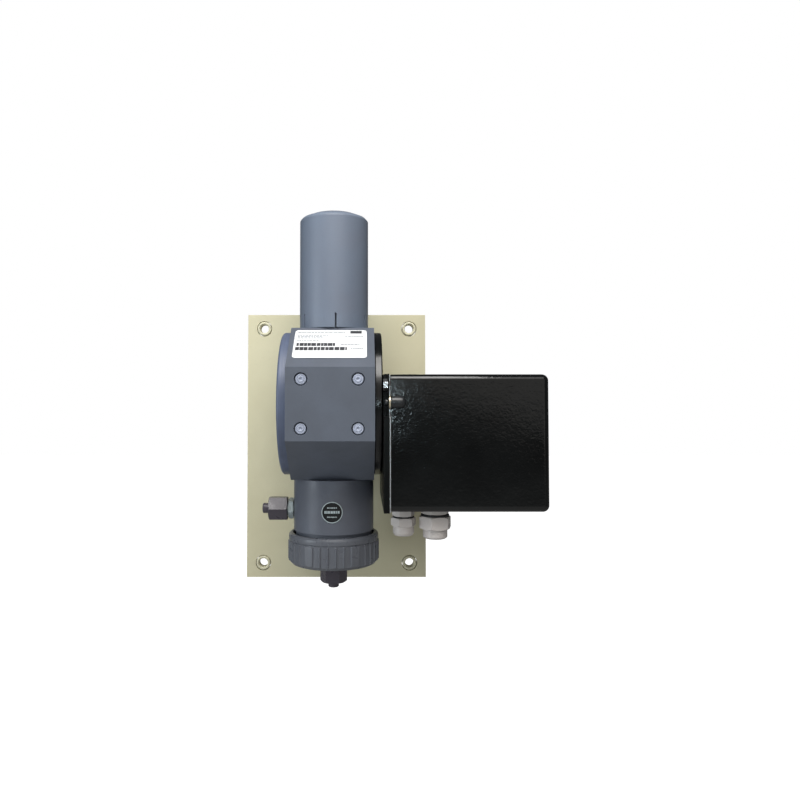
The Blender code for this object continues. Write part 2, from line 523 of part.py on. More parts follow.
def make_drive(looks):
    outline = [(FLANGE_Y0, FLANGE_Z0), (FLANGE_Y1, FLANGE_Z0), (FLANGE_Y1, FLANGE_Z1), (FLANGE_Y0, FLANGE_Z1)]
    flange = add("base_flange", prism(outline, "X", FLANGE_X0, FLANGE_X1), looks["black"])
    drill(flange, "X", FLANGE_X0 - 1.0, FLANGE_X1 + 1.0, 6.0, looks["black"])
    # A pocket at the upper front corner leaves a thin web that carries the bolt and the domed screw.
    for x0, x1 in ((FLANGE_X0 - 1.0, WEB_X0), (WEB_X1, FLANGE_X1 + 1.0)):
        pocket = block_shape(x0, x1, FLANGE_Y0 - 1.0, BOX_Y0, POCKET_Z0, FLANGE_Z1 + 1.0)
        combine(flange, pocket, "DIFFERENCE", looks["black"])
    bolt_at, nut_at = (0.0, FASTENER_Y, BOLT_Z), (0.0, FASTENER_Y, NUT_Z)
    drill(flange, "X", WEB_X0 - 1.0, WEB_X1 + 1.0, BOLT_R + GAP, looks["black"], bolt_at)
    drill(flange, "X", WEB_X0 - 1.0, WEB_X1 + 1.0, SCREW_R + GAP, looks["black"], nut_at)
    head = prism(hexagon(BOLT_FLATS, 90.0), "X", WEB_X0 - GAP - BOLT_HEAD_T, WEB_X0 - GAP)
    bolt = add("flange_bolt", head, looks["steel"], bolt_at)
    combine(bolt, turned(rod(WEB_X0 - 1.0, WEB_X1 + 1.0, BOLT_R), "X", 24), "UNION", looks["steel"], bolt_at)
    start = WEB_X1 + GAP
    washer = tube(start, start + 1.5, DOME_R + GAP, SCREW_R + GAP)
    add("brass_washer", turned(washer, "X", 24), looks["brass"], nut_at)
    tip, dome_foot, dome_from = WEB_X0 - 1.9, start + 1.8, start + 10.0
    dome = [(tip, 0.0), (tip, SCREW_R), (dome_foot, SCREW_R), (dome_foot, DOME_R), (dome_from, DOME_R)]
    dome += [(dome_from + DOME_H * math.sin(a), DOME_R * math.cos(a)) for a in (0.4, 0.8, 1.2)]
    dome += [(dome_from + DOME_H, 0.0)]
    add("dome_screw", turned(dome, "X", 24), looks["black"], nut_at)
    make_bracket(looks)
    face, bore = BRACKET_X + BRACKET_T + GAP, SMALL_SHAFT_R + GAP
    end_r = MOTOR_R - 2.0
    motor = [
        (MOTOR_SHAFT_END + 1.0, 0.0), (MOTOR_SHAFT_END + 1.0, bore), (face, bore), (face, MOTOR_R),
        (MOTOR_END - 8.0, MOTOR_R), (MOTOR_END - 6.0, end_r), (MOTOR_END, end_r), (MOTOR_END, 0.0),
    ]
    add("motor", turned(motor, "X", 24), looks["steel"], (0.0, 0.0, -2.0 * CENTRE_DISTANCE))


def make_bracket(looks):
    """The plate that holds the motor and the shafts' ends, on four legs."""
    outline = [(-50.0, -76.0), (29.0, -76.0), (29.0, 19.0), (-50.0, 19.0)]
    bracket = add("gear_bracket", prism(outline, "X", BRACKET_X, BRACKET_X + BRACKET_T), looks["steel"])
    for y in (-LEG_Y, LEG_Y):
        for z in (LEG_TOP_Z, LEG_BOTTOM_Z):
            leg = turned(rod(FLANGE_X1 + GAP, BRACKET_X + 1.0, LEG_R), "X", 16)
            combine(bracket, leg, "UNION", looks["steel"], (0.0, y, z))
    back = BRACKET_X + BRACKET_T
    for k, radius in enumerate((SHAFT_R + 0.4, SMALL_SHAFT_R + GAP, 2.0 * SMALL_SHAFT_R)):
        at = (0.0, 0.0, -k * CENTRE_DISTANCE)
        drill(bracket, "X", BRACKET_X - 1.0, back + 1.0, radius, looks["steel"], at)
    start = back + GAP
    add("terminal_block", block_shape(start, start + 15.0, -50.0, -34.0, -60.0, -10.0), looks["gland"])


def make_neck(looks, side_nut, drop, union, inlet_nut):
    foot = -BLOCK_HALF_H - GAP
    lip, lip_r = foot - NECK_LIP_T, HOSE_HOLE_R + 0.5
    neck = [
        (NECK_END, NECK_BORE_R), (NECK_END, NECK_SPIGOT_R), (NECK_GROOVE_Z, NECK_SPIGOT_R),
        (NECK_GROOVE_Z, NECK_R), (foot, NECK_R), (foot, lip_r), (lip, lip_r), (lip, NECK_BORE_R),
    ]
    neck = add("neck_tube", turned(neck, "Z", 48), looks["neck"])
    side_at = (0.0, 0.0, SIDE_Z)
    drill(neck, "X", -NECK_R - 5.0, -NECK_BORE_R + 5.0, THREAD_R + GAP, looks["neck"], side_at)
    reach, inner = STICKER_R + 1.0, NECK_R + GAP
    band = tube(STICKER_Z - reach, STICKER_Z + reach, inner + STICKER_T, inner)
    sticker = add("neck_sticker", turned(band, "Z", 48), looks["sticker"])
    round_part = turned(rod(-NECK_R - 5.0, -NECK_R + 5.0, STICKER_R), "Y", 24)
    combine(sticker, round_part, "INTERSECT", looks["sticker"], (0.0, 0.0, STICKER_Z))
    make_outlet(looks, side_at, side_nut)
    make_inlet(looks, drop, inlet_nut)
    make_union(looks, union)


def make_outlet(looks, at, nut_joint):
    """The side outlet: a body through the neck's wall, a nut on it and the stub that the nut clamps."""
    look, thread_end, bore = looks["fitting"], OUTLET_THREAD_END, FLUID_BORE_R
    tip, barb_end, shoulder = HOSE_END_X - 0.4, HOSE_END_X - 3.0, -NECK_R - 0.4
    body = [
        (tip, bore), (tip, HOSE_BARB_R), (barb_end, HOSE_BARB_R), (barb_end, THREAD_R),
        (thread_end, THREAD_R), (thread_end, bore),
    ]
    body = add("side_fitting_body", turned(body, "X", 24), look, at)
    hexagon_ring = bored_hexagon("X", OUTLET_HEX_END, shoulder, OUTLET_HEX_FLATS, OUTLET_HEX_TURN_DEG)
    combine(body, hexagon_ring, "UNION", look, at)
    outline = hexagon(OUTLET_NUT_FLATS, OUTLET_NUT_TURN_DEG)
    nut = prism(outline, "X", OUTLET_NUT_END, OUTLET_HEX_END - GAP)
    nut = add("side_fitting_nut", nut, look, at, nut_joint)
    drill(nut, "X", thread_end - 0.5, OUTLET_HEX_END + 1.0, THREAD_R + GAP, look, at)
    drill(nut, "X", OUTLET_NUT_END - 1.0, thread_end, OUTLET_STUB_R + GAP, look, at)
    stub = tube(OUTLET_STUB_END, thread_end - 0.4, OUTLET_STUB_R, bore)
    add("side_stub", turned(stub, "X", 24), look, at)


def make_inlet(looks, drop, nut_joint):
    """The end piece with the inlet's thread, a nut on it and the stub that the nut clamps."""
    look, thread_end, bore = looks["fitting"], INLET_THREAD_END, FLUID_BORE_R
    tip, seat, rim, boss = HOSE_END_Z - 0.4, NECK_END - 0.4, UNION_SHELF + 0.4, -147.5
    boss_r, rim_r = UNION_HOLE_R - 0.5, 35.5
    end = [
        (tip, bore), (tip, HOSE_BARB_R), (seat, HOSE_BARB_R), (seat, rim_r), (rim, rim_r), (rim, boss_r),
        (boss, boss_r), (boss, THREAD_R), (thread_end, THREAD_R), (thread_end, bore),
    ]
    end = add("end_piece", turned(end, "Z", 32), looks["neck"], parent=drop)
    hexagon_ring = bored_hexagon("Z", INLET_HEX_END, boss + 0.5, INLET_HEX_FLATS, INLET_TURN_DEG)
    combine(end, hexagon_ring, "UNION", looks["neck"])
    outline = hexagon(INLET_NUT_FLATS, INLET_TURN_DEG)
    nut = prism(outline, "Z", INLET_NUT_END, INLET_HEX_END - GAP)
    nut = add("inlet_nut", nut, look, parent=nut_joint)
    drill(nut, "Z", thread_end - 0.5, INLET_HEX_END + 1.0, THREAD_R + GAP, look)
    drill(nut, "Z", INLET_NUT_END - 1.0, thread_end, INLET_STUB_R + GAP, look)
    stub = tube(INLET_STUB_END, thread_end - 0.4, INLET_STUB_R, bore)
    add("inlet_stub", turned(stub, "Z", 24), look, parent=drop)


def make_union(looks, joint):
    """The ribbed union nut, with a shelf inside that carries the end piece."""
    inner, collar_r = NECK_R + 0.6, UNION_R - 0.6
    ring = [
        (UNION_TOP, inner), (UNION_TOP, UNION_R - 2.4), (UNION_TOP - 1.8, collar_r),
        (UNION_TOP - 6.0, collar_r), (UNION_TOP - 6.5, UNION_R), (UNION_BOTTOM + 2.5, UNION_R),
        (UNION_BOTTOM, UNION_R - 2.5), (UNION_BOTTOM, UNION_HOLE_R), (UNION_SHELF, UNION_HOLE_R),
        (UNION_SHELF, inner),
    ]

    def ribbed(k, radius):
        return radius - UNION_RIB_H if radius == UNION_R and k % 2 else radius

    add("union_nut", turned(ring, "Z", 2 * UNION_RIBS, ribbed), looks["neck"], parent=joint)


def bored_hexagon(axis, start, end, across_flats, turn_deg=0.0, bore=FLUID_BORE_R + 0.6):
    """A hexagon with a hole along its axis, made as a ring so that the fluid's way stays open."""
    corner = across_flats / math.sqrt(3.0)
    return turned(tube(start, end, corner, bore), axis, 6, start=math.radians(turn_deg))


def make_cover(looks, pull, gland_joints):
    shape = block_shape(BOX_X0, BOX_X1, BOX_Y0, BOX_Y1, BOX_Z0, BOX_Z1)
    round_box(shape, BOX_X0, BOX_ROUND)
    cover = add("drive_cover", shape, looks["black"], parent=pull)
    # The hollow runs on past the open end, so that its own rounding stays outside.
    open_x, wall = BOX_X0 - 2.0 * BOX_ROUND, BOX_WALL
    hollow = block_shape(
        open_x, BOX_X1 - wall, BOX_Y0 + wall, BOX_Y1 - wall, BOX_Z0 + wall, BOX_Z1 - wall
    )
    round_box(hollow, open_x, BOX_ROUND - wall)
    combine(cover, hollow, "DIFFERENCE", looks["black"])
    for (name, gland), joint in zip(GLANDS.items(), gland_joints):
        at = (gland["x"], GLAND_Y, 0.0)
        drill(cover, "Z", BOX_Z0 - 1.0, BOX_Z0 + wall + 1.0, gland["thread_r"] + GAP, looks["black"], at, 16)
        make_gland(name, gland, at, looks["gland"], pull, joint)


def make_gland(name, gland, at, look, pull, nut_joint):
    """A cable gland: a threaded body with a hexagon outside the cover, and its nut with a ring and a lip."""
    thread_r, nut_end, bore = gland["thread_r"], gland["nut_end"], FLUID_BORE_R
    body = tube(nut_end + 1.5, BOX_Z0 + 5.0, thread_r, bore)
    body = add(f"{name}_body", turned(body, "Z", 16), look, at, pull)
    collar = bored_hexagon("Z", gland["body_end"], BOX_Z0 - GAP, gland["body_flats"], bore=bore + 0.5)
    combine(body, collar, "UNION", look, at)
    corner, hole_r = gland["nut_flats"] / math.sqrt(3.0), thread_r + GAP
    start, seat = gland["body_end"] - GAP, nut_end + 1.2
    nut = [
        (start, hole_r), (start, corner - 0.8), (start - 1.0, corner), (nut_end + 1.0, corner),
        (nut_end, corner - 0.8), (nut_end, gland["ring_r"]), (gland["ring_end"], gland["ring_r"]),
        (gland["lip_end"], gland["lip_r"]), (gland["lip_end"], bore), (seat, bore), (seat, hole_r),
    ]
    add(f"{name}_nut", turned(nut, "Z", 18), look, at, nut_joint)


def round_box(shape, open_x, radius):
    """Rounds every edge of a box but those of its open end at X = open_x."""
    edges = [edge for edge in shape.edges if not all(abs(v.co.x - open_x) < 1e-4 for v in edge.verts)]
    bmesh.ops.bevel(shape, geom=edges, offset=radius, segments=3, profile=0.5, affect="EDGES")


def main():
    clear_scene()
    looks = make_looks()
    plate = make_plate(looks)
    make_block(looks, plate)
    make_side_covers(looks, axis_empty("left_cover_slide", 0.0, 0.0, 0.0))
    lift = axis_empty("sleeve_lift", 0.0, 0.0, 0.0)
    knob_axis = axis_empty("knob_axis", 0.0, 0.0, 0.0)
    make_pressure_unit(looks, lift, knob_axis, axis_empty("shoe_slide", 0.0, 0.0, 0.0))
    spin = axis_empty("rotor_axis", 0.0, 0.0, 0.0)
    roller_joints = []
    for k in range(ROLLERS):
        angle = 2.0 * math.pi * k / ROLLERS
        place = (0.0, PITCH_R * math.cos(angle), PITCH_R * math.sin(angle))
        roller_joints.append(axis_empty(f"roller_axis_{k + 1}", *place))
    make_rotor(looks, spin, roller_joints)
    idler = axis_empty("idler_axis", 0.0, 0.0, -CENTRE_DISTANCE)
    motor_spin = axis_empty("motor_axis", 0.0, 0.0, -2.0 * CENTRE_DISTANCE)
    make_gears(looks, spin, idler, motor_spin)
    make_drive(looks)
    make_neck(
        looks,
        axis_empty("side_nut_axis", 0.0, 0.0, SIDE_Z),
        axis_empty("end_piece_drop", 0.0, 0.0, NECK_END),
        axis_empty("union_axis", 0.0, 0.0, UNION_BOTTOM),
        axis_empty("inlet_nut_axis", 0.0, 0.0, -160.0),
    )
    pull = axis_empty("cover_pull", BOX_X0, 0.0, 0.0)
    gland_joints = [axis_empty(f"{name}_axis", gland["x"], GLAND_Y, -105.0) for name, gland in GLANDS.items()]
    make_cover(looks, pull, gland_joints)


main()
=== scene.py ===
import math
import random

import bmesh
import bpy
from mathutils import Matrix, Vector


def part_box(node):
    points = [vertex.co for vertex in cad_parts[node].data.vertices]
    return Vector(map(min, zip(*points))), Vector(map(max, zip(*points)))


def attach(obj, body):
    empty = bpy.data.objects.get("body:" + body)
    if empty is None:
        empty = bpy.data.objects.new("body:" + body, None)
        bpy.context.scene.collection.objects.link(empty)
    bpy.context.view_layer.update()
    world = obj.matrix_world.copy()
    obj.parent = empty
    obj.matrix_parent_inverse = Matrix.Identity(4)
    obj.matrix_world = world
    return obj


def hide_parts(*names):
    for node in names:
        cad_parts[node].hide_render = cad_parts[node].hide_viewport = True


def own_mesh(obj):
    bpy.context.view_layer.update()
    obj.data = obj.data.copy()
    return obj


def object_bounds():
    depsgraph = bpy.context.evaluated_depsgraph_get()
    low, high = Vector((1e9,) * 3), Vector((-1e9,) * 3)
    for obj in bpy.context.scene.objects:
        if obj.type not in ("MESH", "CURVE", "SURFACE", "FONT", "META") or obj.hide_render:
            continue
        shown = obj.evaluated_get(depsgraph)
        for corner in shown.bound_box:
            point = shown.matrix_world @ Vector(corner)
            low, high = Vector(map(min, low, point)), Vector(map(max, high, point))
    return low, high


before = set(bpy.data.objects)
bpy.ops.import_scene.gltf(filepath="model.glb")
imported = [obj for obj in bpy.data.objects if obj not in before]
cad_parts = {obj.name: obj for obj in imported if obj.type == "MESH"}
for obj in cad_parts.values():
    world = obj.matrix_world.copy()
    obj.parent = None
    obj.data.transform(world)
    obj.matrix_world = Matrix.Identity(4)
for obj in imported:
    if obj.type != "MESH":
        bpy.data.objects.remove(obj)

# The fine surface of a wall-mounted peristaltic pump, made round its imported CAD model.
# Shapes are in millimetres from the drum's axis: +X right, +Y into the wall, +Z up.

CAD_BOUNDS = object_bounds()
MM = 0.001
BLOCK_FRONT = 80.0  # the block's front face lies this far before the drum's axis
FINE = 160  # segments round a large turned piece
SMALL = 64  # segments round a small one
RNG = random.Random(7)

block_lo, block_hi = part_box("pump_block")
DRUM = Vector(((block_lo.x + block_hi.x) / 2, block_lo.y + BLOCK_FRONT * MM, (block_lo.z + block_hi.z) / 2))


def place(x, y, z):
    return DRUM + Vector((x, y, z)) * MM


def span(node):
    """A CAD node's lowest and highest corners, in millimetres from the drum's axis."""
    lo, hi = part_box(node)
    return (lo - DRUM) / MM, (hi - DRUM) / MM


def seat_of(node):
    """A round CAD node about Y: its corners, where its axis lies in X and Z, and its radius."""
    lo, hi = span(node)
    return lo, hi, (lo.x + hi.x) / 2, (lo.z + hi.z) / 2, (hi.x - lo.x) / 2


# ---- Shapes ----


def on_axis(axis, along, u, v):
    return {"X": (along, u, v), "Y": (u, along, v), "Z": (u, v, along)}[axis]


def soften(profile, radius, steps=4):
    """Rounds the corners of an open or closed (along, radius) profile, keeping its ends on the axis."""
    count = len(profile)
    closed = all(r > 0.0 for _, r in profile)
    out = []
    for i, point in enumerate(profile):
        if not closed and i in (0, count - 1):
            out.append(point)
            continue
        here = Vector(point)
        before, after = Vector(profile[i - 1]) - here, Vector(profile[(i + 1) % count]) - here
        reach = min(radius, 0.45 * before.length, 0.45 * after.length)
        a, b = here + before.normalized() * reach, here + after.normalized() * reach
        for k in range(steps + 1):
            t = k / steps
            out.append(tuple(a * (1 - t) ** 2 + here * 2 * t * (1 - t) + b * t**2))
    return out


def turned(profile, axis, segments=SMALL, radius_at=None, start=0.0):
    """A bmesh turned round an axis. radius_at(angle, along, radius) may change a point's radius."""
    shape = bmesh.new()
    rings = []
    for along, radius in profile:
        if radius == 0.0:
            rings.append([shape.verts.new(on_axis(axis, along, 0.0, 0.0))] * segments)
            continue
        ring = []
        for k in range(segments):
            angle = start + 2.0 * math.pi * k / segments
            r = radius_at(angle, along, radius) if radius_at else radius
            ring.append(shape.verts.new(on_axis(axis, along, r * math.cos(angle), r * math.sin(angle))))
        rings.append(ring)
    if all(radius > 0.0 for _, radius in profile):
        rings.append(rings[0])
    for a, b in zip(rings, rings[1:]):
        for k in range(segments):
            j = (k + 1) % segments
            corners = list(dict.fromkeys((a[k], a[j], b[j], b[k])))
            if len(corners) > 2:
                shape.faces.new(corners)
    return shape


def lathe(profile, softening, axis, segments=SMALL):
    """A turned shape with the corners of its profile rounded."""
    return turned(soften(profile, softening), axis, segments)


def rod(start, end, radius):
    return [(start, 0.0), (start, radius), (end, radius), (end, 0.0)]


def pin(start, end, radius, cut):
    """A rod with chamfered ends."""
    bevel = [(start, radius - cut), (start + cut, radius), (end - cut, radius), (end, radius - cut)]
    return [(start, 0.0), *bevel, (end, 0.0)]


def stub(start, end, radius, bore):
    """A tube with a chamfered end at its start."""
    return [(start, bore), (start, radius - 0.7), (start + 0.8, radius), (end, radius), (end, bore)]


def tube(start, end, radius, bore):
    return [(start, bore), (start, radius), (end, radius), (end, bore)]


def prism(outline, axis, start, end):
    shape = bmesh.new()
    face = shape.faces.new([shape.verts.new(on_axis(axis, start, u, v)) for u, v in outline])
    moved = bmesh.ops.extrude_face_region(shape, geom=[face])
    ends = [item for item in moved["geom"] if isinstance(item, bmesh.types.BMVert)]
    bmesh.ops.translate(shape, verts=ends, vec=on_axis(axis, end - start, 0.0, 0.0))
    bmesh.ops.recalc_face_normals(shape, faces=shape.faces)
    return shape


def slab(x0, x1, y0, y1, z0, z1):
    return prism([(x0, y0), (x1, y0), (x1, y1), (x0, y1)], "Z", z0, z1)


def rounded_outline(width, height, radius, steps=8):
    points = []
    for quarter, (sx, sy) in enumerate(((1, 1), (-1, 1), (-1, -1), (1, -1))):
        for step in range(steps + 1):
            angle = math.pi / 2 * (quarter + step / steps)
            x, y = sx * (width / 2 - radius), sy * (height / 2 - radius)
            points.append((x + radius * math.cos(angle), y + radius * math.sin(angle)))
    return points


def hexagon(across_flats, start_deg=0.0):
    corner = across_flats / math.sqrt(3.0)
    angles = [math.radians(start_deg + 60.0 * k) for k in range(6)]
    return [(corner * math.cos(a), corner * math.sin(a)) for a in angles]


def shifted(shape, x, y, z):
    bmesh.ops.translate(shape, verts=shape.verts, vec=(x, y, z))
    return shape


def new_object(name, data):
    obj = bpy.data.objects.new(name, data)
    bpy.context.scene.collection.objects.link(obj)
    return obj


def new_mesh(name, shape):
    """A mesh made of a bmesh, which is freed."""
    mesh = bpy.data.meshes.new(name)
    shape.to_mesh(mesh)
    shape.free()
    return mesh


def boolean(shape, others, operation="DIFFERENCE"):
    """A bmesh combined with others through Blender's exact Boolean. It takes and frees them all."""
    objects = []
    for item in (shape, *others):
        bmesh.ops.recalc_face_normals(item, faces=item.faces)
        objects.append(new_object("helper", new_mesh("helper", item)))
    base = objects[0]
    for other in objects[1:]:
        step = base.modifiers.new("Boolean", "BOOLEAN")
        step.operation = operation
        step.object = other
        step.solver = "EXACT"
    bpy.context.view_layer.update()
    evaluated = base.evaluated_get(bpy.context.evaluated_depsgraph_get())
    result = bmesh.new()
    result.from_mesh(evaluated.to_mesh())
    evaluated.to_mesh_clear()
    for helper in objects:
        mesh = helper.data
        bpy.data.objects.remove(helper)
        bpy.data.meshes.remove(mesh)
    bmesh.ops.remove_doubles(result, verts=result.verts, dist=1e-5)
    bmesh.ops.dissolve_degenerate(result, dist=1e-5, edges=result.edges)
    return result


def hex_nut(axis, start, end, across_flats, bore, turn_deg=0.0, chamfered=(True, True)):
    """A hexagon whose corners are cut by a 30 degree cone at the ends that chamfered says."""
    corner = across_flats / math.sqrt(3.0)
    flat = across_flats / 2.0
    cut = (corner - flat) * 0.62
    low, high = min(start, end), max(start, end)
    profile = [(low, 0.0)]
    profile += [(low, flat), (low + cut, corner + 0.1)] if chamfered[0] else [(low, corner + 0.1)]
    profile += [(high - cut, corner + 0.1), (high, flat)] if chamfered[1] else [(high, corner + 0.1)]
    profile += [(high, 0.0)]
    shape = prism(hexagon(across_flats, turn_deg), axis, low, high)
    shape = boolean(shape, [turned(profile, axis, 96)], "INTERSECT")
    if bore:
        shape = boolean(shape, [turned(rod(low - 1.0, high + 1.0, bore), axis, SMALL)])
    return shape


def finish_mesh(obj, bevel, segments=3):
    """Smooth shading, with the edges over 30 degrees rounded by a bevel, or kept sharp where it is 0."""
    obj.data.shade_smooth()
    if not bevel:
        obj.data.set_sharp_from_angle(angle=math.radians(32.0))
        return
    rounding = obj.modifiers.new("Bevel", "BEVEL")
    rounding.width = bevel * MM
    rounding.segments = segments
    rounding.limit_method = "ANGLE"
    rounding.angle_limit = math.radians(30.0)
    obj.modifiers.new("WeightedNormal", "WEIGHTED_NORMAL").keep_sharp = False


def piece(name, shape, look, node, body="frame", bevel=0.0, at=(0.0, 0.0, 0.0), tilt=0.0):
    """Makes an object of a bmesh in millimetres. It rides on a body and may stand for a CAD node."""
    bmesh.ops.recalc_face_normals(shape, faces=shape.faces)
    matrix = Matrix.Translation(place(*at)) @ Matrix.Rotation(tilt, 4, "X") @ Matrix.Scale(MM, 4)
    bmesh.ops.transform(shape, matrix=matrix, verts=shape.verts)
    mesh = new_mesh(name, shape)
    mesh.materials.append(look)
    obj = new_object(name, mesh)
    finish_mesh(obj, bevel)
    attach(obj, body)
    if node:
        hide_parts(node)
    return obj


def dress(node, look, bevel=0.0):
    """Gives a CAD node that stays its material, welds its split corners and rounds its edges."""
    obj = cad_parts[node]
    obj.data.materials.clear()
    obj.data.materials.append(look)
    weld = obj.modifiers.new("Weld", "WELD")
    weld.merge_threshold = 1e-6
    if "custom_normal" in obj.data.attributes:
        obj.data.attributes.remove(obj.data.attributes["custom_normal"])
    finish_mesh(obj, bevel, segments=2)


# ---- Materials ----

GRAIN_DEPTH = 0.00012  # metres of relief in a moulded grain
WEAR_AND_HIGHLIGHT_WIDTH = 0.0006  # metres of an edge made pale, partly as worn stock and partly as a painted highlight
GLOSS_SPREAD = 0.06  # how far a moulded face's roughness strays either way


def feed(tree, socket, value):
    """Gives a socket a value, or joins another node's output to it."""
    if isinstance(value, bpy.types.NodeSocket):
        tree.links.new(value, socket)
    else:
        socket.default_value = value


def add_node(tree, kind, inputs=(), operation=None):
    """A shader node, with pairs of a socket's name or number and what it gets."""
    made = tree.nodes.new("ShaderNode" + kind)
    if operation:
        made.operation = operation
    for key, value in inputs:
        feed(tree, made.inputs[key], value)
    return made


def new_material(name, colour, roughness, metallic=0.0, specular=0.5):
    made = bpy.data.materials.new(name)
    made.use_nodes = True
    tree = made.node_tree
    shader = tree.nodes["Principled BSDF"]
    feed(tree, shader.inputs["Base Color"], (*colour, 1.0))
    feed(tree, shader.inputs["Roughness"], roughness)
    feed(tree, shader.inputs["Metallic"], metallic)
    feed(tree, shader.inputs["Specular IOR Level"], specular)
    return made, tree, shader


def noise(tree, scale, detail=4.0, stretch=(1.0, 1.0, 1.0), distortion=0.0):
    """A noise over the object's own coordinates, in cycles a metre."""
    coords = add_node(tree, "TexCoord").outputs["Object"]
    mapped = add_node(tree, "Mapping", [("Vector", coords), ("Scale", stretch)]).outputs["Vector"]
    inputs = [("Vector", mapped), ("Scale", scale), ("Detail", detail), ("Distortion", distortion)]
    return add_node(tree, "TexNoise", inputs).outputs["Fac"]


def ranged(tree, value, low, high, start=0.3, end=0.7):
    inputs = [("Value", value), ("From Min", start), ("From Max", end), ("To Min", low), ("To Max", high)]
    return add_node(tree, "MapRange", inputs).outputs["Result"]


def mixed(tree, factor, a, b):
    """A colour between a and b, each a colour or another node's output."""
    mix = tree.nodes.new("ShaderNodeMix")
    mix.data_type = "RGBA"
    for key, value in (("Factor", factor), (6, a), (7, b)):
        feed(tree, mix.inputs[key], (*value, 1.0) if isinstance(value, tuple) else value)
    return mix.outputs[2]


def scaled(colour, factor):
    return tuple(min(1.0, channel * factor) for channel in colour)


def edge_mask(tree, width):
    """1 along convex and concave edges, 0 on flat faces, broken up by a fine noise."""
    rounded = add_node(tree, "Bevel", [("Radius", width)])
    rounded.samples = 6
    flat = add_node(tree, "NewGeometry").outputs["Normal"]
    dot = add_node(tree, "VectorMath", [(0, rounded.outputs["Normal"]), (1, flat)], "DOT_PRODUCT")
    mask = ranged(tree, dot.outputs["Value"], 1.0, 0.0, 0.80, 0.995)
    broken = ranged(tree, noise(tree, 420.0, 5.0), 0.0, 1.0, 0.38, 0.62)
    times = add_node(tree, "Math", [(0, mask), (1, broken)], "MULTIPLY")
    times.use_clamp = True
    return times.outputs["Value"]


def bumped(tree, shader, height, strength, distance):
    bump = add_node(tree, "Bump", [("Height", height), ("Strength", strength), ("Distance", distance)])
    feed(tree, shader.inputs["Normal"], bump.outputs["Normal"])


def surface(name, colour, roughness, metallic=0.0, specular=0.5, mottle=0.08, mottle_scale=45.0,
            stretch=(1, 1, 1), grain=0.25, grain_scale=1400.0, tint=None, wear_and_highlight=0.0):
    """Moulded or machined stock: uneven colour, fine grain, uneven gloss, and paler edges that are partly
    worn and partly a painted highlight.
    """
    made, tree, shader = new_material(name, colour, roughness, metallic, specular)
    cloud = ranged(tree, noise(tree, mottle_scale, 5.0, stretch, 0.4), 0.0, 1.0)
    base = mixed(tree, cloud, tint or scaled(colour, 1.0 - mottle), scaled(colour, 1.0 + mottle))
    fleck = ranged(tree, noise(tree, grain_scale * 0.6, 2.0, stretch), 0.0, 0.5, 0.55, 0.8)
    base = mixed(tree, fleck, base, scaled(colour, 1.0 - 2.0 * mottle))
    # Convex and concave edges are mixed towards a paler colour: partly worn stock, partly a painted edge
    # highlight.
    if wear_and_highlight:
        wear_and_highlight_edge = ranged(tree, edge_mask(tree, WEAR_AND_HIGHLIGHT_WIDTH), 0.0, wear_and_highlight, 0.0, 1.0)
        base = mixed(tree, wear_and_highlight_edge, base, tuple(min(1.0, channel * 1.6 + 0.03) for channel in colour))
    feed(tree, shader.inputs["Base Color"], base)
    patch = noise(tree, mottle_scale * 2.3, 6.0, stretch, 0.6)
    gloss = ranged(tree, patch, roughness - GLOSS_SPREAD, roughness + GLOSS_SPREAD)
    feed(tree, shader.inputs["Roughness"], gloss)
    bumped(tree, shader, noise(tree, grain_scale, 3.0, stretch), grain, GRAIN_DEPTH)
    return made


def hammertone(name, colour):
    """Glossy stove enamel over a wrinkled coat: soft dimples a few millimetres apart under a clear shine."""
    made, tree, shader = new_material(name, colour, 0.12)
    fine = noise(tree, 330.0, 2.0, distortion=0.9)
    coarse = noise(tree, 90.0, 2.0, distortion=0.4)
    both = add_node(tree, "Math", [(0, coarse), (1, 0.8), (2, fine)], "MULTIPLY_ADD")
    bumped(tree, shader, both.outputs["Value"], 0.16, 0.0006)
    cloud = ranged(tree, noise(tree, 26.0), 0.0, 1.0)
    base = mixed(tree, cloud, scaled(colour, 0.7), scaled(colour, 1.5))
    dust = ranged(tree, noise(tree, 900.0, 2.0), 0.0, 0.12, 0.62, 0.8)
    base = mixed(tree, dust, base, (0.05, 0.05, 0.045))
    # Painted highlight: the enamel's edges are mixed towards a colour five times paler, as where light
    # catches its rounded edges.
    feed(tree, shader.inputs["Base Color"], mixed(tree, edge_mask(tree, 0.0009), base, scaled(colour, 5.0)))
    feed(tree, shader.inputs["Roughness"], ranged(tree, noise(tree, 60.0), 0.09, 0.15))
    return made


def lathe_marks(tree, axis, centre, scale):
    """A noise over the distance along and from an axis, as the fine rings a lathe tool leaves."""
    coords = add_node(tree, "TexCoord").outputs["Object"]
    shift = add_node(tree, "VectorMath", [(0, coords), (1, place(*centre))], "SUBTRACT")
    split = add_node(tree, "SeparateXYZ", [("Vector", shift.outputs["Vector"])])
    across = [split.outputs[name] for name in "XYZ" if name != axis]
    flat = add_node(tree, "CombineXYZ", [("X", across[0]), ("Y", across[1])])
    length = add_node(tree, "VectorMath", [(0, flat.outputs["Vector"])], "LENGTH")
    rings = add_node(tree, "CombineXYZ", [("X", split.outputs[axis]), ("Y", length.outputs["Value"])])
    inputs = [("Vector", rings.outputs["Vector"]), ("Scale", scale), ("Detail", 3.0)]
    return add_node(tree, "TexNoise", inputs).outputs["Fac"]


